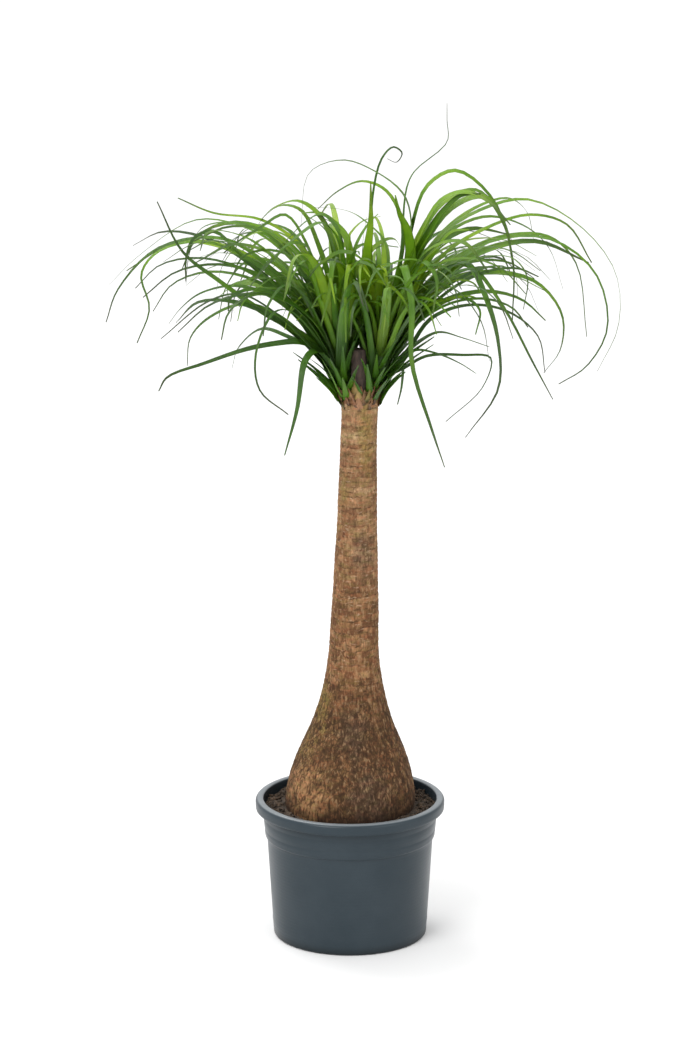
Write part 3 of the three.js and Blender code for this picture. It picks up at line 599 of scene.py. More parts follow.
def plate_colour(paint, height, cloud, neck):
    """The bark's brown, which differs by plate, by height and by stain, with warmer and cooler bands; the
    ochre stain also paints light on the base's left flank.
    """
    blend = paint.work_out("ADD", paint.times(cloud, 0.56), paint.times(paint.attribute("tone"), 0.44))
    upward_tone = paint.ramp(paint.ease(height, 0.36, 0.68), UPWARD_TONE)
    neck_colour = paint.mix(1.0, paint.ramp(blend, NECK_BARK), upward_tone, "MULTIPLY")
    colour = paint.mix(neck, paint.ramp(blend, BASE_BARK), neck_colour)
    # Stains; the ochre one is partly painted light on the base's lit left flank
    for label, (strength, stain_colour) in STAIN_COLOURS.items():
        colour = paint.mix(paint.times(paint.attribute(label), strength), colour, stain_colour)
    bands = paint.noise(paint.place((1, 1, 3.2)), 70, 3, 0.6)
    return paint.mix(1.0, colour, paint.ramp(bands, WARMTH), "MULTIPLY")


def flecked(paint, colour, height, tall, neck):
    """The bark's colour with pale and dark upright flecks, and pale level dashes on the neck."""
    fleck = paint.noise(tall, 330, 2, 0.5)
    colour = paint.mix(paint.ease(fleck, 0.55, 0.68, 0.0, 0.5), colour, PALE_FLECK)
    dark_share = paint.ease(fleck, 0.34, 0.47, 0.75, 0.0)
    dark_share = paint.times(dark_share, paint.ease(height, 0.27, 0.40, 1.0, 0.35))
    colour = paint.mix(dark_share, colour, DARK_DASH)
    dash = paint.noise(paint.place((1, 1, 3.2)), 120, 2, 0.5)
    return paint.mix(paint.times(paint.ease(dash, 0.60, 0.72, 0.0, 0.28), neck), colour, PALE_DASH)


def old_wood():
    """The dark brown wood of the cut stub."""
    paint = Paint("old_wood")
    grain = paint.noise(paint.place((1, 1, 0.3)), 260, 5, 0.65)
    colour = paint.ramp(grain, STUB_WOOD)
    return paint.finish({"Base Color": colour, "Roughness": 0.9, "Normal": paint.bump(grain, 0.0015, 0.8)})


def leaf_green():
    """Strap leaf: long veins, green that varies by leaf and darkens outward, dry tips, painted shade toward
    the feet and brown husks.
    """
    paint = Paint("leaf_green")
    tint = paint.attribute("tint")
    along = paint.attribute("along")
    across = paint.attribute("across")
    worn = paint.attribute("worn")
    cloud = paint.noise(paint.place(), 22, 4)
    shade = paint.work_out("ADD", tint, paint.ease(cloud, 0.3, 0.7, -0.14, 0.14))
    colour = paint.ramp(shade, GREENS)
    vein = paint.work_out("SINE", paint.times(across, 26.0))
    colour = paint.mix(paint.ease(vein, -1.0, 1.0, 0.0, 0.22), colour, VEIN_GREEN)
    edge = paint.ease(paint.work_out("ABSOLUTE", across), 0.86, 1.0, 0.0, 0.35)
    colour = paint.mix(edge, colour, EDGE_GREEN)
    ripe = paint.work_out("SUBTRACT", along, paint.times(tint, 0.36))
    colour = paint.mix(paint.times(paint.ease(ripe, 0.32, 0.68, 0.0, 0.72), worn), colour, DUSK_GREEN)
    colour = paint.mix(paint.times(paint.ease(ripe, 0.64, 0.86, 0.0, 0.60), worn), colour, DRY_TIP)
    # Painted shade: the leaves darken toward their feet inside the crown
    painted_shade = paint.ease(along, 0.02, 0.38, 0.76, 0.0)
    colour = paint.mix(painted_shade, colour, PAINTED_SHADE_GREEN)
    colour = paint.mix(paint.attribute("husk"), colour, husk_colour(paint, tint, cloud, painted_shade))
    through = paint.add("BsdfTranslucent", {"Color": paint.mix(0.5, colour, LIT_GREEN)})
    lit = {"Fac": 0.28, 1: paint.shader.outputs["BSDF"], 2: through.outputs["BSDF"]}
    blend = paint.add("MixShader", lit)
    paint.put(blend.outputs["Shader"], paint.nodes["Material Output"].inputs["Surface"])
    return paint.finish({"Base Color": colour, "Roughness": 0.33, "Specular IOR Level": 0.5,
        "Normal": paint.bump(vein, 0.0003, 0.5)})


def husk_colour(paint, tint, cloud, painted_shade):
    """The rust brown of dry leaf bases, streaked upward, with painted shade at the foot."""
    tone = paint.work_out("ADD", tint, paint.ease(cloud, 0.3, 0.7, -0.2, 0.2))
    streak = paint.noise(paint.place((1, 1, 0.15)), 900, 3, 0.7)
    colour = paint.mix(1.0, paint.ramp(tone, HUSK_BROWNS), paint.ramp(streak, HUSK_STREAKS), "MULTIPLY")
    # Painted shade at the husks' foot
    return paint.mix(painted_shade, colour, HUSK_FOOT_SHADE)


def pale_floor():
    """A plain studio floor, nearly white, with painted shade round the plant that offsets the lamps' light
    there, and paler away from it.
    """
    paint = Paint("pale_floor")
    away = paint.add("VectorMath", {0: paint.place()}, operation="LENGTH").outputs["Value"]
    # Painted shade: darker round the plant, where the lamps add light
    colour = paint.ramp(paint.ease(away, 1.5, 8.0), FLOOR_WHITES)
    return paint.finish({"Base Color": colour, "Roughness": 0.9})


# The pot


def arc(centre_radius, centre_height, rounding, start, end, steps):
    """Points of a round in a profile, between two angles in degrees."""
    points = []
    for step in range(steps + 1):
        angle = math.radians(mix(start, end, step / steps))
        radius = centre_radius + rounding * math.cos(angle)
        points.append((radius, centre_height + rounding * math.sin(angle)))
    return points


def from_lip(places):
    """Profile points from places given inward from the lip's outside and down from its top."""
    return [(LIP_RADIUS - inward, POT_HEIGHT - down) for inward, down in places]


def foot_profile():
    """The underside: the centre pad, the raised ring with the drainage holes, and the rounded foot ring."""
    pad = [(0, 0), (PAD_RADIUS / 2, 0), (PAD_RADIUS - 0.6, 0), (PAD_RADIUS, 0.5)]
    ring = [(PAD_RADIUS + 1.6, FLOOR_RISE), (DRAIN_CIRCLE - 1, FLOOR_RISE), (FOOT_RADIUS - 1.6, FLOOR_RISE)]
    foot = [(FOOT_RADIUS - 0.3, 0.5), (FOOT_RADIUS + 0.5, 0)]
    foot += arc(BASE_RADIUS - BASE_ROUNDING, BASE_ROUNDING, BASE_ROUNDING, -90, 0, 8)
    return pad + ring + foot


def outer_profile():
    """The outside of the wall, with a faint bead near the foot, and of the collar with its grooves."""
    profile = []
    for step in range(1, 24):
        bead = BEAD_HEIGHT if step == BEAD_STEP else 0
        radius = mix(BASE_RADIUS, BODY_TOP_RADIUS, step / 24) + bead
        profile.append((radius, mix(BASE_ROUNDING, BODY_TOP, step / 24)))
    profile += [(BODY_TOP_RADIUS, BODY_TOP), (BODY_TOP_RADIUS + 0.3, BODY_TOP + 0.8),
        (COLLAR_BOTTOM_RADIUS - 0.4, COLLAR_BOTTOM - 0.2), (COLLAR_BOTTOM_RADIUS, COLLAR_BOTTOM + 0.8)]
    for height in COLLAR_HEIGHTS:
        share = (height - COLLAR_BOTTOM) / (SKIRT_BOTTOM - COLLAR_BOTTOM)
        groove = GROOVE_DEPTH if height in COLLAR_GROOVES else 0
        profile.append((mix(COLLAR_BOTTOM_RADIUS, COLLAR_RADIUS, share) - groove, height))
    return profile


def inner_profile():
    """The inside, from under the lip down the wall to the middle of the floor."""
    wall = POT_WALL
    profile = [(COLLAR_RADIUS - wall, SKIRT_BOTTOM), (COLLAR_BOTTOM_RADIUS - wall, COLLAR_BOTTOM + 1.6),
        (COLLAR_BOTTOM_RADIUS - wall - 0.8, COLLAR_BOTTOM + 0.2), (BODY_TOP_RADIUS - wall, BODY_TOP)]
    for step in range(1, 12):
        radius = mix(BODY_TOP_RADIUS, BASE_RADIUS, step / 12) - wall
        profile.append((radius, mix(BODY_TOP, BASE_ROUNDING + 2, step / 12)))
    profile += [(BASE_RADIUS - wall, 6), (BASE_RADIUS - wall - 0.7, 3.4), (BASE_RADIUS - wall - 2, 2)]
    profile += [(BASE_RADIUS - 6, wall), (FOOT_RADIUS + wall, wall), (FOOT_RADIUS, FLOOR_RISE + wall)]
    profile += [(DRAIN_CIRCLE - 1, FLOOR_RISE + wall), (PAD_RADIUS, FLOOR_RISE + wall)]
    return profile + [(PAD_RADIUS - wall, wall), (PAD_RADIUS / 2, wall), (0, wall)]


def make_pot():
    """The nursery pot: foot, floor with drainage holes, wall, collar, skirt and rounded lip."""
    lip = arc(LIP_RADIUS - LIP_ROUNDING, POT_HEIGHT - LIP_ROUNDING, LIP_ROUNDING, 0, 90, 10)
    profile = foot_profile() + outer_profile() + from_lip(LIP_UNDERSIDE) + lip + from_lip(LIP_INSIDE)
    vertices, faces = lathe(profile + inner_profile(), POT_SIDES)
    shell = Shape()
    for place in vertices:
        shell.add(*place)
    shell.faces += faces
    pot = shell.finish("nursery_pot", pot_plastic())
    drill_holes(pot)
    return pot


def drill_holes(pot):
    """The drainage holes through the raised ring of the floor."""
    cutter = bmesh.new()
    for angle in round_angles(DRAIN_HOLES):
        middle = Vector((DRAIN_CIRCLE * math.cos(angle), DRAIN_CIRCLE * math.sin(angle),
            FLOOR_RISE + POT_WALL / 2)) * MM
        bmesh.ops.create_cone(cutter, cap_ends=True, segments=32, radius1=DRAIN_HOLE_RADIUS * MM,
            radius2=DRAIN_HOLE_RADIUS * MM, depth=6 * MM, matrix=Matrix.Translation(middle))
    mesh = bpy.data.meshes.new("drill")
    cutter.to_mesh(mesh)
    cutter.free()
    drill = bpy.data.objects.new("drill", mesh)
    bpy.context.collection.objects.link(drill)
    cut = pot.modifiers.new("holes", "BOOLEAN")
    cut.operation = "DIFFERENCE"
    cut.solver = "EXACT"
    cut.object = drill
    graph = bpy.context.evaluated_depsgraph_get()
    finished = bpy.data.meshes.new_from_object(pot.evaluated_get(graph))
    pot.modifiers.clear()
    pot.data = finished
    bpy.data.objects.remove(drill)
    pot.data.set_sharp_from_angle(angle=math.radians(50))


# The soil


def make_soil():
    """The filled pot's soil: plain sides up from the floor, a rough crumbly top, and loose crumbs."""
    soil = Shape()
    rim = COLLAR_RADIUS - POT_WALL - 0.4
    side_rings = [(BASE_RADIUS - 3.3, SOIL_BOTTOM), (BODY_TOP_RADIUS - POT_WALL - 0.6, BODY_TOP - 1),
        (COLLAR_BOTTOM_RADIUS - POT_WALL - 0.5, COLLAR_BOTTOM + 3), (rim, SOIL_LEVEL - 2)]
    for radius, height in side_rings:
        for angle in round_angles(SOIL_SIDES):
            soil.add(radius * math.cos(angle), radius * math.sin(angle), height)
    for ring in range(SOIL_TOP_RINGS):
        radius = mix(rim, SOIL_INNER_RADIUS, ring / (SOIL_TOP_RINGS - 1))
        for angle in round_angles(SOIL_SIDES):
            x = radius * math.cos(angle)
            y = radius * math.sin(angle)
            crumb = 1.6 * noise.fractal(Vector((x, y, 0)) / 9, 0.8, 2.0, 4)
            lump = 1.8 * noise.noise(Vector((x, y, 40)) / 22)
            soil.add(x, y, SOIL_LEVEL - 1 + 4 * (rim - radius) / rim + crumb + lump)
    bottom = soil.add(0, 0, SOIL_BOTTOM)
    middle = soil.add(0, 0, SOIL_LEVEL - 20)
    soil.faces += pointed_faces(len(side_rings) + SOIL_TOP_RINGS, SOIL_SIDES, bottom, middle)
    add_crumbs(soil)
    return soil.finish("soil_surface", potting_soil())


def add_crumbs(soil):
    """Loose bits of bark and peat lying on the soil."""
    draw = seeded_random(CRUMB_SEED)
    ball = bmesh.new()
    bmesh.ops.create_icosphere(ball, subdivisions=1, radius=1)
    corners = [vertex.co.copy() for vertex in ball.verts]
    sides = [[vertex.index for vertex in face.verts] for face in ball.faces]
    ball.free()
    flat = Matrix.Diagonal((1.5, 0.8, 0.5))
    for _ in range(CRUMBS):
        angle = 2 * math.pi * next(draw)
        radius = 80 + 27 * math.sqrt(next(draw))
        size = 0.9 + 2.4 * next(draw) ** 2
        turn = Matrix.Rotation(6.3 * next(draw), 3, Vector((next(draw), next(draw), 0.5)).normalized())
        middle = Vector((radius * math.cos(angle), radius * math.sin(angle), SOIL_LEVEL + 1 + next(draw)))
        first = len(soil.vertices)
        for corner in corners:
            rough = 1 + 0.35 * noise.noise(corner * 2 + middle)
            soil.add(*(middle + turn @ flat @ corner * size * rough))
        for side in sides:
            soil.faces.append(tuple(first + index for index in side))


# The trunk


def outline_curve():
    """The trunk's outline as heights and radii along the same spline as in the solids."""
    points = [np.array(point, float) for point in TRUNK_OUTLINE]
    padded = [points[0], *points, points[-1]]
    places = []
    for before, start, end, after in zip(padded, padded[1:], padded[2:], padded[3:]):
        for step in range(24):
            places.append(hermite(start, end, (end - before) / 2, (after - start) / 2, step / 24))
    places.append(points[-1])
    return [place[0] for place in places], [place[1] for place in places]


OUTLINE_HEIGHTS, OUTLINE_RADII = outline_curve()


def trunk_radius(height):
    """The trunk's radius at a height, without relief."""
    return float(np.interp(height, OUTLINE_HEIGHTS, OUTLINE_RADII))


def trunk_shift(height):
    """How far the trunk's middle has moved to the right at a height."""
    share = min(max((height - SOIL_LEVEL) / (TRUNK_TOP - SOIL_LEVEL), 0.0), 1.0)
    return TRUNK_LEAN * share


def bark_rows():
    """Rows of bark plates up the neck: (lowest height, groove strength, plate borders, plate tones)."""
    draw = seeded_random(BARK_SEED)
    rows = []
    height = PLATES_BOTTOM
    while height < TRUNK_TOP + 30:
        slender = smoothstep(height, *SLENDER_HEIGHTS)
        plates = int(22 - 13 * slender + 5 * next(draw))
        borders = sorted(next(draw) for _ in range(plates))
        row_tone = next(draw)
        row_share = 0.3 + 0.35 * slender
        tones = [mix(next(draw), row_tone, row_share) for _ in range(plates + 1)]
        rows.append((height, 0.4 + 0.6 * next(draw), borders, tones))
        height += 6.0 - 1.0 * slender + 3 * next(draw)
    return rows


BARK_ROWS = bark_rows()
BARK_ROW_HEIGHTS = [row[0] for row in BARK_ROWS]

# The noise that warps the base's cracks takes its offsets from the clock unless it is seeded.
noise.seed_set(BARK_SEED)


def neck_plates(angle, radius, height):
    """How high the neck's bark stands, 0 in a groove and 1 on a plate, and the plate's own tone."""
    x = math.cos(angle)
    y = math.sin(angle)
    level = height + 2.4 * noise.noise(Vector((x * 1.6, y * 1.6, height / 45)))
    level += 1.5 * noise.noise(Vector((x * 6, y * 6, height / 12)))
    row = max(bisect.bisect_right(BARK_ROW_HEIGHTS, level) - 1, 0)
    low, strength, borders, tones = BARK_ROWS[row]
    high, next_strength, _, _ = BARK_ROWS[min(row + 1, len(BARK_ROWS) - 1)]
    ragged = 0.5 * noise.noise(Vector((x * 12, y * 12, height / 3)))
    below = strength * (1 - smoothstep(level - low + ragged, 0.1, 1.8))
    above = next_strength * (1 - smoothstep(high - level + ragged, 0.1, 1.4))
    turn = (angle / (2 * math.pi) + 0.006 * noise.noise(Vector((x * 3, y * 3, height / 5)))) % 1.0
    tone = tones[bisect.bisect_right(borders, turn) % len(borders)]
    apart = min(abs(turn - border) for border in borders) * 2 * math.pi * radius
    slender = smoothstep(height, *SLENDER_HEIGHTS)
    beside = (0.2 + 0.5 * tone) * (1 - 0.5 * slender) * (1 - smoothstep(apart + ragged, 0.1, 1.4))
    broken = 0.35 + 0.65 * smoothstep(noise.noise(Vector((x * 4, y * 4, height / 9))), -0.25, 0.25)
    return 1 - max(below, above, beside) * broken, tone


def base_plates(x, y, height):
    """The same on the swollen base, where the cracks are short, fine and upright."""
    place = Vector((x / 5.4, y / 5.4, height / 16))
    distances, centres = noise.voronoi(place + 0.22 * noise.noise_vector(place * 1.3))
    broken = 0.35 + 0.65 * smoothstep(noise.noise(place / 2.3), -0.35, 0.3)
    crack = broken * (1 - smoothstep(distances[1] - distances[0], 0.02, 0.24))
    tone = 0.5 + 0.5 * noise.noise(centres[0] * 7.3)
    return 1 - crack, tone


def bark_relief(angle, radius, height):
    """The bark's relief in millimetres, how high it stands from 0 to 1, and its plate's tone."""
    x = radius * math.cos(angle)
    y = radius * math.sin(angle)
    neck = smoothstep(height + 14 * noise.noise(Vector((x / 25, y / 25, 7))), 285, 350)
    stands, tone = neck_plates(angle, radius, height)
    if neck < 1:
        low_stands, low_tone = base_plates(x, y, height)
        stands = mix(low_stands, stands, neck)
        tone = mix(low_tone, tone, neck)
    rough = 0.35 * noise.fractal(Vector((x, y, height)) / 6, 0.9, 2.1, 4)
    swell = 1.1 * noise.noise(Vector((x / 40, y / 40, height / 70)))
    return 1.1 * (stands - 0.75) + 0.5 * (tone - 0.5) + rough + swell, stands, tone


def stains_at(place):
    """How strongly each kind of stain shows at a place, down to 0 past its ragged edge."""
    ragged = 0.45 * noise.fractal(Vector(place) / 14, 1.0, 2.0, 3)
    shares = {}
    for label, spots in STAINS.items():
        shares[label] = 0.0
        for strength, middle, reach in spots:
            apart = Vector([(a - b) / c for a, b, c in zip(place, middle, reach)]).length
            share = strength * (1 - smoothstep(apart + ragged, 0.3, 1.1))
            shares[label] = max(shares[label], share)
    return shares


def add_bark(body, x, y, z, stands, tone):
    """One vertex of the trunk, with how high the bark stands there, its plate's tone and its stains."""
    return body.add(x, y, z, stands=stands, tone=tone, **stains_at((x, y, z)))


def make_trunk(bark_material, wood_material):
    """The trunk from its root base to the fork, with cracked bark, ring scars, two arms and the cut stub."""
    heights = [mix(ROOT_BOTTOM, SOIL_LEVEL, ring / BURIED_RINGS) for ring in range(BURIED_RINGS)]
    heights += [mix(SOIL_LEVEL, TRUNK_TOP, ring / (BARK_RINGS - 1)) for ring in range(BARK_RINGS)]
    body = Shape()
    for height in heights:
        fade = smoothstep(height, SOIL_LEVEL - 2, SOIL_LEVEL + 8)
        radius = trunk_radius(height)
        for angle in round_angles(BARK_SIDES):
            relief, stands, tone = bark_relief(angle, radius, height)
            x = trunk_shift(height) + (radius + fade * relief) * math.cos(angle)
            add_bark(body, x, (radius + fade * relief) * math.sin(angle), height, stands, tone)
    for share, rise in DOME_RINGS:
        radius = trunk_radius(TRUNK_TOP) * share
        for angle in round_angles(BARK_SIDES):
            x = radius * math.cos(angle)
            y = radius * math.sin(angle)
            rough = 1.4 * noise.noise(Vector((x, y, 3)) / 6)
            add_bark(body, TRUNK_LEAN + x, y, TRUNK_TOP + rise + rough, 0.8, 0.5 + 0.3 * rough)
    bottom = add_bark(body, 0, 0, ROOT_BOTTOM, 1, 0.5)
    top = add_bark(body, TRUNK_LEAN, 0, TRUNK_TOP + TRUNK_DOME, 1, 0.5)
    body.faces += pointed_faces(len(heights) + len(DOME_RINGS), BARK_SIDES, bottom, top)
    for head in (LEFT_HEAD, RIGHT_HEAD):
        add_fork_arm(body, head)
    bark_faces = len(body.faces)
    add_stub(body)
    trunk = body.finish("palm_trunk", bark_material)
    trunk.data.materials.append(wood_material)
    for index in range(bark_faces, len(body.faces)):
        trunk.data.polygons[index].material_index = 1
    return trunk


def add_fork_arm(body, head):
    """One short arm of the fork, ringed with the scars of shed leaves, that carries a head."""
    sides = 48
    rings = 23
    slope = math.tan(math.radians(math.copysign(FORK_SPLAY, head["lean"])))
    first = len(body.vertices)
    for step in range(rings):
        height = mix(FORK_BOTTOM, FORK_TOP, step / (rings - 1))
        for angle in round_angles(sides):
            scar = ((height + 1.2 * math.sin(2 * angle)) / 5.5) % 1.0
            radius = FORK_ARM_RADIUS + 0.3 + 0.8 * (0.5 - scar)
            x = head["foot_x"] + slope * (height - FORK_TOP) + radius * math.cos(angle)
            tone = 0.5 + 0.4 * math.sin(5 * angle)
            add_bark(body, x, radius * math.sin(angle), height, 1 - scar ** 3, tone)
    body.faces += tube_faces(first, rings, sides)


def add_stub(body):
    """The cut stub of the old growing point: ribbed, dark, with a dished and ragged top."""
    sides = 40
    profile = [(STUB_RADIUS + 0.6, FORK_BOTTOM + 30), (STUB_RADIUS + 0.4, FORK_TOP)]
    for step in range(9):
        ring = 0.5 if step % 2 else -0.2
        profile.append((STUB_RADIUS - 0.04 * step + ring, FORK_TOP + 6 + 4 * step))
    profile += [(STUB_RADIUS - 0.8, STUB_TOP - 3), (STUB_RADIUS - 1.8, STUB_TOP - 0.8),
        (STUB_RADIUS - 3.4, STUB_TOP - 2), (2, STUB_TOP - 3.4)]
    first = len(body.vertices)
    middle_x, middle_y = STUB_PLACE
    for radius, height in profile:
        for angle in round_angles(sides):
            rib = 0.35 * math.sin(9 * angle + height / 9) + 0.25 * math.sin(5 * angle - height / 5)
            ragged = 0.8 * noise.noise(Vector((3 * math.cos(angle), 3 * math.sin(angle), height / 8)))
            grown = radius + min(rib, radius * 0.1)
            add_bark(body, middle_x + grown * math.cos(angle), middle_y + grown * math.sin(angle),
                height + min(ragged, 0.4), 0.8, 0.5)
    body.faces += tube_faces(first, len(profile), sides)


# The leaves


def fanned(number, spread):
    """A numbered leaf's angle in a spread, so that leaves that follow each other stand well apart."""
    return spread * ((number * GOLDEN_SHARE) % 1 - 0.5)


def head_slope(head):
    """How far a head leans sideways for each millimetre up."""
    return math.tan(math.radians(head["lean"]))


def leaf_root(head, age, toward_x, toward_y):
    """The place on a head's core where a leaf of an age is rooted."""
    lean = math.radians(head["lean"])
    along = ROOT_RISE * (1 - age) + 6
    reach = math.hypot(toward_x, toward_y) or 1
    offset = ROOT_OFFSET * (0.3 + 0.7 * age)
    return Vector((head["foot_x"] + along * math.sin(lean) + offset * toward_x / reach,
        offset * toward_y / reach, FORK_TOP + along * math.cos(lean)))


def outline_midrib(head, leaf):
    """An outline leaf's midrib, from its root through its listed places."""
    age, _, depth, path = leaf
    root = leaf_root(head, age, path[-1][0] - head["foot_x"], depth)
    midrib = [root]
    for index, (across, up) in enumerate(path):
        share = (index + 1) / len(path)
        midrib.append(Vector((across, mix(root.y, depth, share ** DEPTH_GROWTH), up)))
    return midrib


def arching_midrib(head, kind, number, count, draw):
    """The midrib of a leaf that rises, arches over and falls, held above the crown's bottom."""
    age = (number + 0.5) / count
    turn = fanned(number, kind["spread"])
    inward = 0.5 - 0.5 * math.cos(math.radians(turn))
    azimuth = math.radians(head["side"] + turn + kind["turn_scatter"] * (next(draw) - 0.5))
    fall = kind["fall"] * age * (1 - kind["inner_upright"] * inward)
    rise = math.radians(kind["rise"] - fall + kind["rise_scatter"] * (next(draw) - 0.5))
    droop = math.radians(LEAST_DROOP + kind["droop_scatter"] * next(draw))
    length = kind["length"] + kind["older_longer"] * age + kind["length_scatter"] * next(draw)
    length *= 1 - kind["inner_shorter"] * inward
    bend = math.radians(kind["bend"] * (next(draw) - 0.5))
    place = leaf_root(head, age, math.cos(azimuth), math.sin(azimuth))
    midrib = [place.copy()]
    for step in range(1, kind["steps"] + 1):
        share = step / kind["steps"]
        climb = rise - droop * share ** kind["droop_growth"]
        heading = azimuth + bend * share
        place = place + Vector((math.cos(climb) * math.cos(heading), math.cos(climb) * math.sin(heading),
            math.sin(climb))) * (length / kind["steps"])
        midrib.append(place)
    lowest = CROWN_BOTTOM + BOTTOM_SCATTER * next(draw) + FRONT_LIFT * max(0, -place.y)
    lift = max(0, lowest - place.z)
    for step, point in enumerate(midrib):
        point.z += lift * (step / kind["steps"]) ** LIFT_GROWTH
    return midrib


def spline(points, steps):
    """Places along a centripetal Catmull-Rom curve through the points, as in the solids."""
    padded = [2 * points[0] - points[1], *points, 2 * points[-1] - points[-2]]
    places = []
    for step in range(steps + 1):
        position = (len(points) - 1) * step / steps
        index = min(int(position), len(points) - 2)
        p0, p1, p2, p3 = padded[index:index + 4]
        gap0 = max((p1 - p0).length ** 0.5, 1e-4)
        gap1 = max((p2 - p1).length ** 0.5, 1e-4)
        gap2 = max((p3 - p2).length ** 0.5, 1e-4)
        leaving = ((p1 - p0) / gap0 - (p2 - p0) / (gap0 + gap1) + (p2 - p1) / gap1) * gap1
        arriving = ((p2 - p1) / gap1 - (p3 - p1) / (gap1 + gap2) + (p3 - p2) / gap2) * gap1
        places.append(hermite(p1, p2, leaving, arriving, position - index))
    return places


def add_blade(leaves, midrib, width, twist, tint, steps=BLADE_STEPS, husk=0.0):
    """One strap leaf: a thin channelled section swept along the midrib, narrowing to a hair tip."""
    places = spline(midrib, steps)
    outward = places[-1] - places[0]
    outward.z = 0
    outward.normalize()
    side = Vector((outward.y, -outward.x, 0))
    worn = smoothstep(sum((b - a).length for a, b in zip(places, places[1:])), *WORN_LENGTHS)
    first = len(leaves.vertices)
    for step, place in enumerate(places):
        share = step / steps
        tangent = (places[min(step + 1, steps)] - places[max(step - 1, 0)]).normalized()
        side = (side - tangent * side.dot(tangent)).normalized()
        broad = Matrix.Rotation(FOOT_TURN * outward.x + twist * share, 3, tangent) @ side
        up = broad.cross(tangent)
        half = mix(width, HAIR_WIDTH, share ** WIDTH_TAPER) / 2
        half *= 0.84 + 0.16 * smoothstep(share, 0.0, 0.15)
        thick = HALF_THICKNESS * (1 - 0.6 * share)
        channel = half * CHANNEL_DEPTH * (1.6 - share)
        wave = 0.05 * half * math.sin(23 * share + 9 * tint)
        for index, across in enumerate(BLADE_SECTION):
            bulge = 0.8 * thick * (1 - across * across)
            rise = channel * abs(across) ** 1.6 + wave * across
            rise += bulge if index < UPPER_POINTS else -bulge
            spot = place + broad * (half * across) + up * rise
            leaves.add(*spot, tint=tint, along=share, across=across, husk=husk, worn=worn)
    faces = tube_faces(first, steps + 1, len(BLADE_SECTION))
    leaves.faces += [face[::-1] for face in faces]


def add_arching_leaves(leaves, head, kind, count, draw, tone):
    """The leaves of one kind that a rule places."""
    for number in range(count):
        midrib = arching_midrib(head, kind, number, count, draw)
        width = kind["width"] + kind["width_scatter"] * next(draw)
        twist = kind["twist"] * (2 * next(draw) - 1)
        tint = 0.15 + 0.45 * (1 - number / count) + 0.4 * next(tone)
        add_blade(leaves, midrib, width, twist, tint, SHORT_BLADE_STEPS)


def add_leaf_bases(leaves, head, draw):
    """Short old leaf bases round the outside of a head's foot, one above another."""
    for number in range(LEAF_BASES):
        angle = math.radians(head["side"] + fanned(number, LEAF_BASE_SPREAD))
        low = FORK_TOP - 26 + 46 * number / LEAF_BASES
        toward = Vector((math.cos(angle), math.sin(angle), 0))
        foot = Vector((head["foot_x"] + head_slope(head) * (low - FORK_TOP), 0, low))
        foot += toward * (FORK_ARM_RADIUS - 1)
        length = 34 + 34 * next(draw)
        spread = length * (0.5 + 0.5 * next(draw))
        path = [(0, 0), (6, 8), (6 + spread * 0.5, 8 + length * 0.45), (6 + spread, 8 + length * 0.8)]
        midrib = [foot + toward * out + UP * up for out, up in path]
        width = 13 + 5 * next(draw)
        twist = 0.3 * (next(draw) - 0.5)
        add_blade(leaves, midrib, width, twist, 0.3 * next(draw) + 0.08, 10)


def add_husks(leaves, head, draw):
    """The dry, rust-brown scales that clasp this head's half of the trunk's top."""
    for number in range(HUSKS):
        angle = math.radians(head["side"] + fanned(number, HUSK_SPREAD))
        low = TRUNK_TOP - 22 + 22 * number / HUSKS
        toward = Vector((math.cos(angle), math.sin(angle), 0))
        foot = Vector((trunk_shift(low), 0, low)) + toward * (trunk_radius(low) - 0.5)
        length = 15 + 9 * next(draw)
        path = [(0, 0), (1.5, 7), (2.5, length * 0.6), (1 + 4 * next(draw), length)]
        midrib = [foot + toward * out + UP * up for out, up in path]
        husk = 1 - 0.6 * next(draw) ** 3
        width = 14 + 8 * next(draw)
        twist = 0.4 * (next(draw) - 0.5)
        add_blade(leaves, midrib, width, twist, next(draw), 8, husk)


def add_core(leaves, head):
    """The small leaning core of leaf bases in the middle of a head."""
    profile = [(0, 0.3), (CORE_FOOT_RADIUS, 0.3), (CORE_RADIUS * 0.82, CORE_LENGTH * 0.2),
        (CORE_RADIUS, CORE_LENGTH * 0.4), (CORE_RADIUS * 0.85, CORE_LENGTH * 0.65),
        (CORE_RADIUS * 0.4, CORE_LENGTH * 0.85), (0, CORE_LENGTH)]
    vertices, faces = lathe(profile, 48)
    first = len(leaves.vertices)
    for x, y, z in vertices:
        fold = math.sin(CORE_FOLDS * math.atan2(y, x) + z / 6)
        swell = 1 + 0.07 * fold
        leaves.add(head["foot_x"] + x * swell + head_slope(head) * z, y * swell, FORK_TOP + z,
            tint=0.3, along=0.05, across=fold * 0.8, husk=0.0, worn=0.0)
    leaves.faces += [tuple(first + index for index in face) for face in faces]


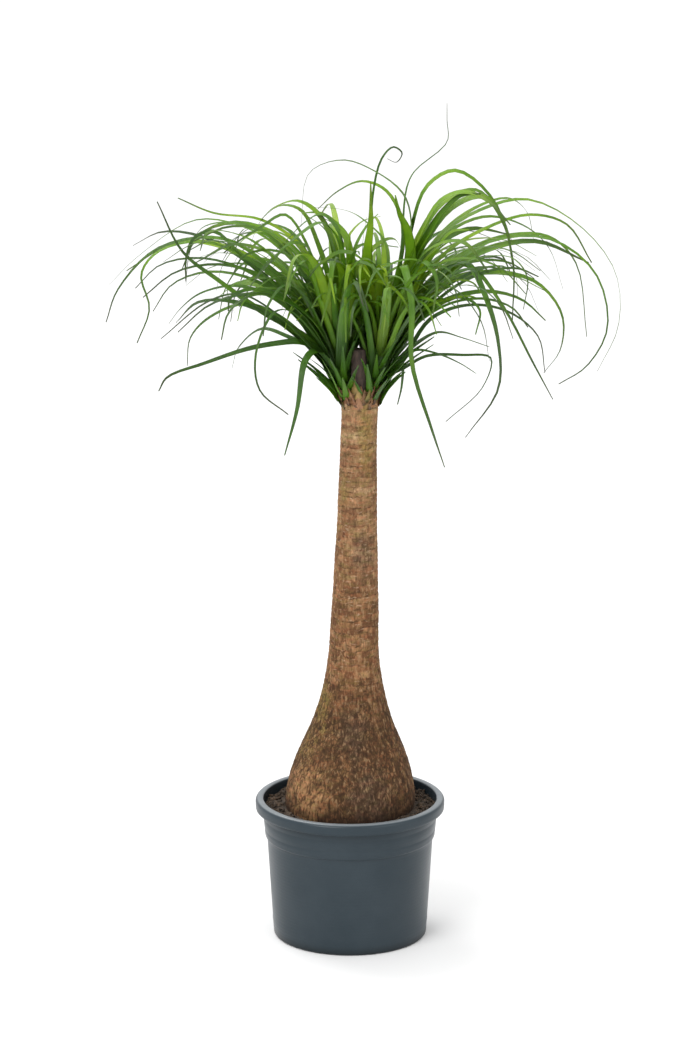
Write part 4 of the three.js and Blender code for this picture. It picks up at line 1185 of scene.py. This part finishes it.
def make_head(name, head, outline_leaves, material):
    """A head: the core, the outline leaves, the filling leaves, finer ones between, leaf bases and husks."""
    leaves = Shape()
    add_core(leaves, head)
    tone = seeded_random(head["seed"] + 100)
    for number, leaf in enumerate(outline_leaves):
        age, listed_width, _, _ = leaf
        slim = 0.3 + 0.7 * smoothstep(listed_width, 3, 9)
        fresh = 1 - 0.6 * smoothstep(age, 0.65, 0.95)
        tint = slim * fresh * (0.16 + 0.42 * (1 - age) + 0.5 * next(tone))
        width = listed_width * mix(1, LEAF_FULLNESS, smoothstep(listed_width, 8, 14))
        twist = BLADE_TWIST * math.sin(TWIST_STEP * number + TWIST_START)
        add_blade(leaves, outline_midrib(head, leaf), width, twist, tint)
    add_arching_leaves(leaves, head, FILLING, head["fillers"], seeded_random(head["seed"]), tone)
    add_arching_leaves(leaves, head, BETWEEN, BETWEEN_LEAVES, tone, tone)
    add_leaf_bases(leaves, head, tone)
    add_husks(leaves, head, tone)
    return leaves.finish(name, material)


# The stage


def make_stage():
    """A pale floor, soft lights and a bright surrounding."""
    bpy.ops.mesh.primitive_plane_add(size=FLOOR_SIZE)
    floor = bpy.context.object
    floor.name = "floor"
    floor.data.materials.append(pale_floor())
    world = bpy.data.worlds.new("studio")
    world.use_nodes = True
    background = world.node_tree.nodes["Background"]
    background.inputs["Color"].default_value = (1, 1, 1, 1)
    background.inputs["Strength"].default_value = WORLD_STRENGTH
    bpy.context.scene.world = world
    bpy.context.scene.view_settings.view_transform = "Standard"
    for name, place, size, power in LIGHTS:
        add_light(name, place, size, power)


def add_light(name, place, size, power):
    """A square soft light aimed at the middle of the plant."""
    lamp = bpy.data.lights.new(name, "AREA")
    lamp.size = size
    lamp.energy = power
    light = bpy.data.objects.new(name, lamp)
    light.location = place
    light.rotation_euler = (LIGHT_AIM - Vector(place)).to_track_quat("-Z", "Y").to_euler()
    bpy.context.collection.objects.link(light)


def make_camera():
    """The camera that takes the photograph's view."""
    lens = bpy.data.cameras.new("camera")
    lens.sensor_fit = "AUTO"
    lens.sensor_width = SENSOR_MM
    lens.lens = FOCAL_PIXELS * SENSOR_MM / max(PHOTO_WIDTH, PHOTO_HEIGHT)
    lens.clip_end = CAMERA_REACH
    camera = bpy.data.objects.new("camera", lens)
    camera.location = (0, -CAMERA_DISTANCE, CAMERA_HEIGHT)
    camera.rotation_euler = (math.radians(90 - CAMERA_PITCH), 0, 0)
    bpy.context.collection.objects.link(camera)
    bpy.context.scene.camera = camera


def place_piece(piece, slot, *nodes):
    """A piece rides on the one body and stands for its nodes; the slot is not used."""
    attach(piece, "root")
    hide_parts(*nodes)


make_camera()
make_stage()
place_piece(make_pot(), "pot_plastic", "pot")
place_piece(make_soil(), "soil", "soil")
place_piece(make_trunk(bark(), old_wood()), "bark", "trunk")
green = leaf_green()
place_piece(make_head("left_head", LEFT_HEAD, LEFT_LEAVES, green), "leaf", "leaves_left")
place_piece(make_head("right_head", RIGHT_HEAD, RIGHT_LEAVES, green), "leaf", "leaves_right")
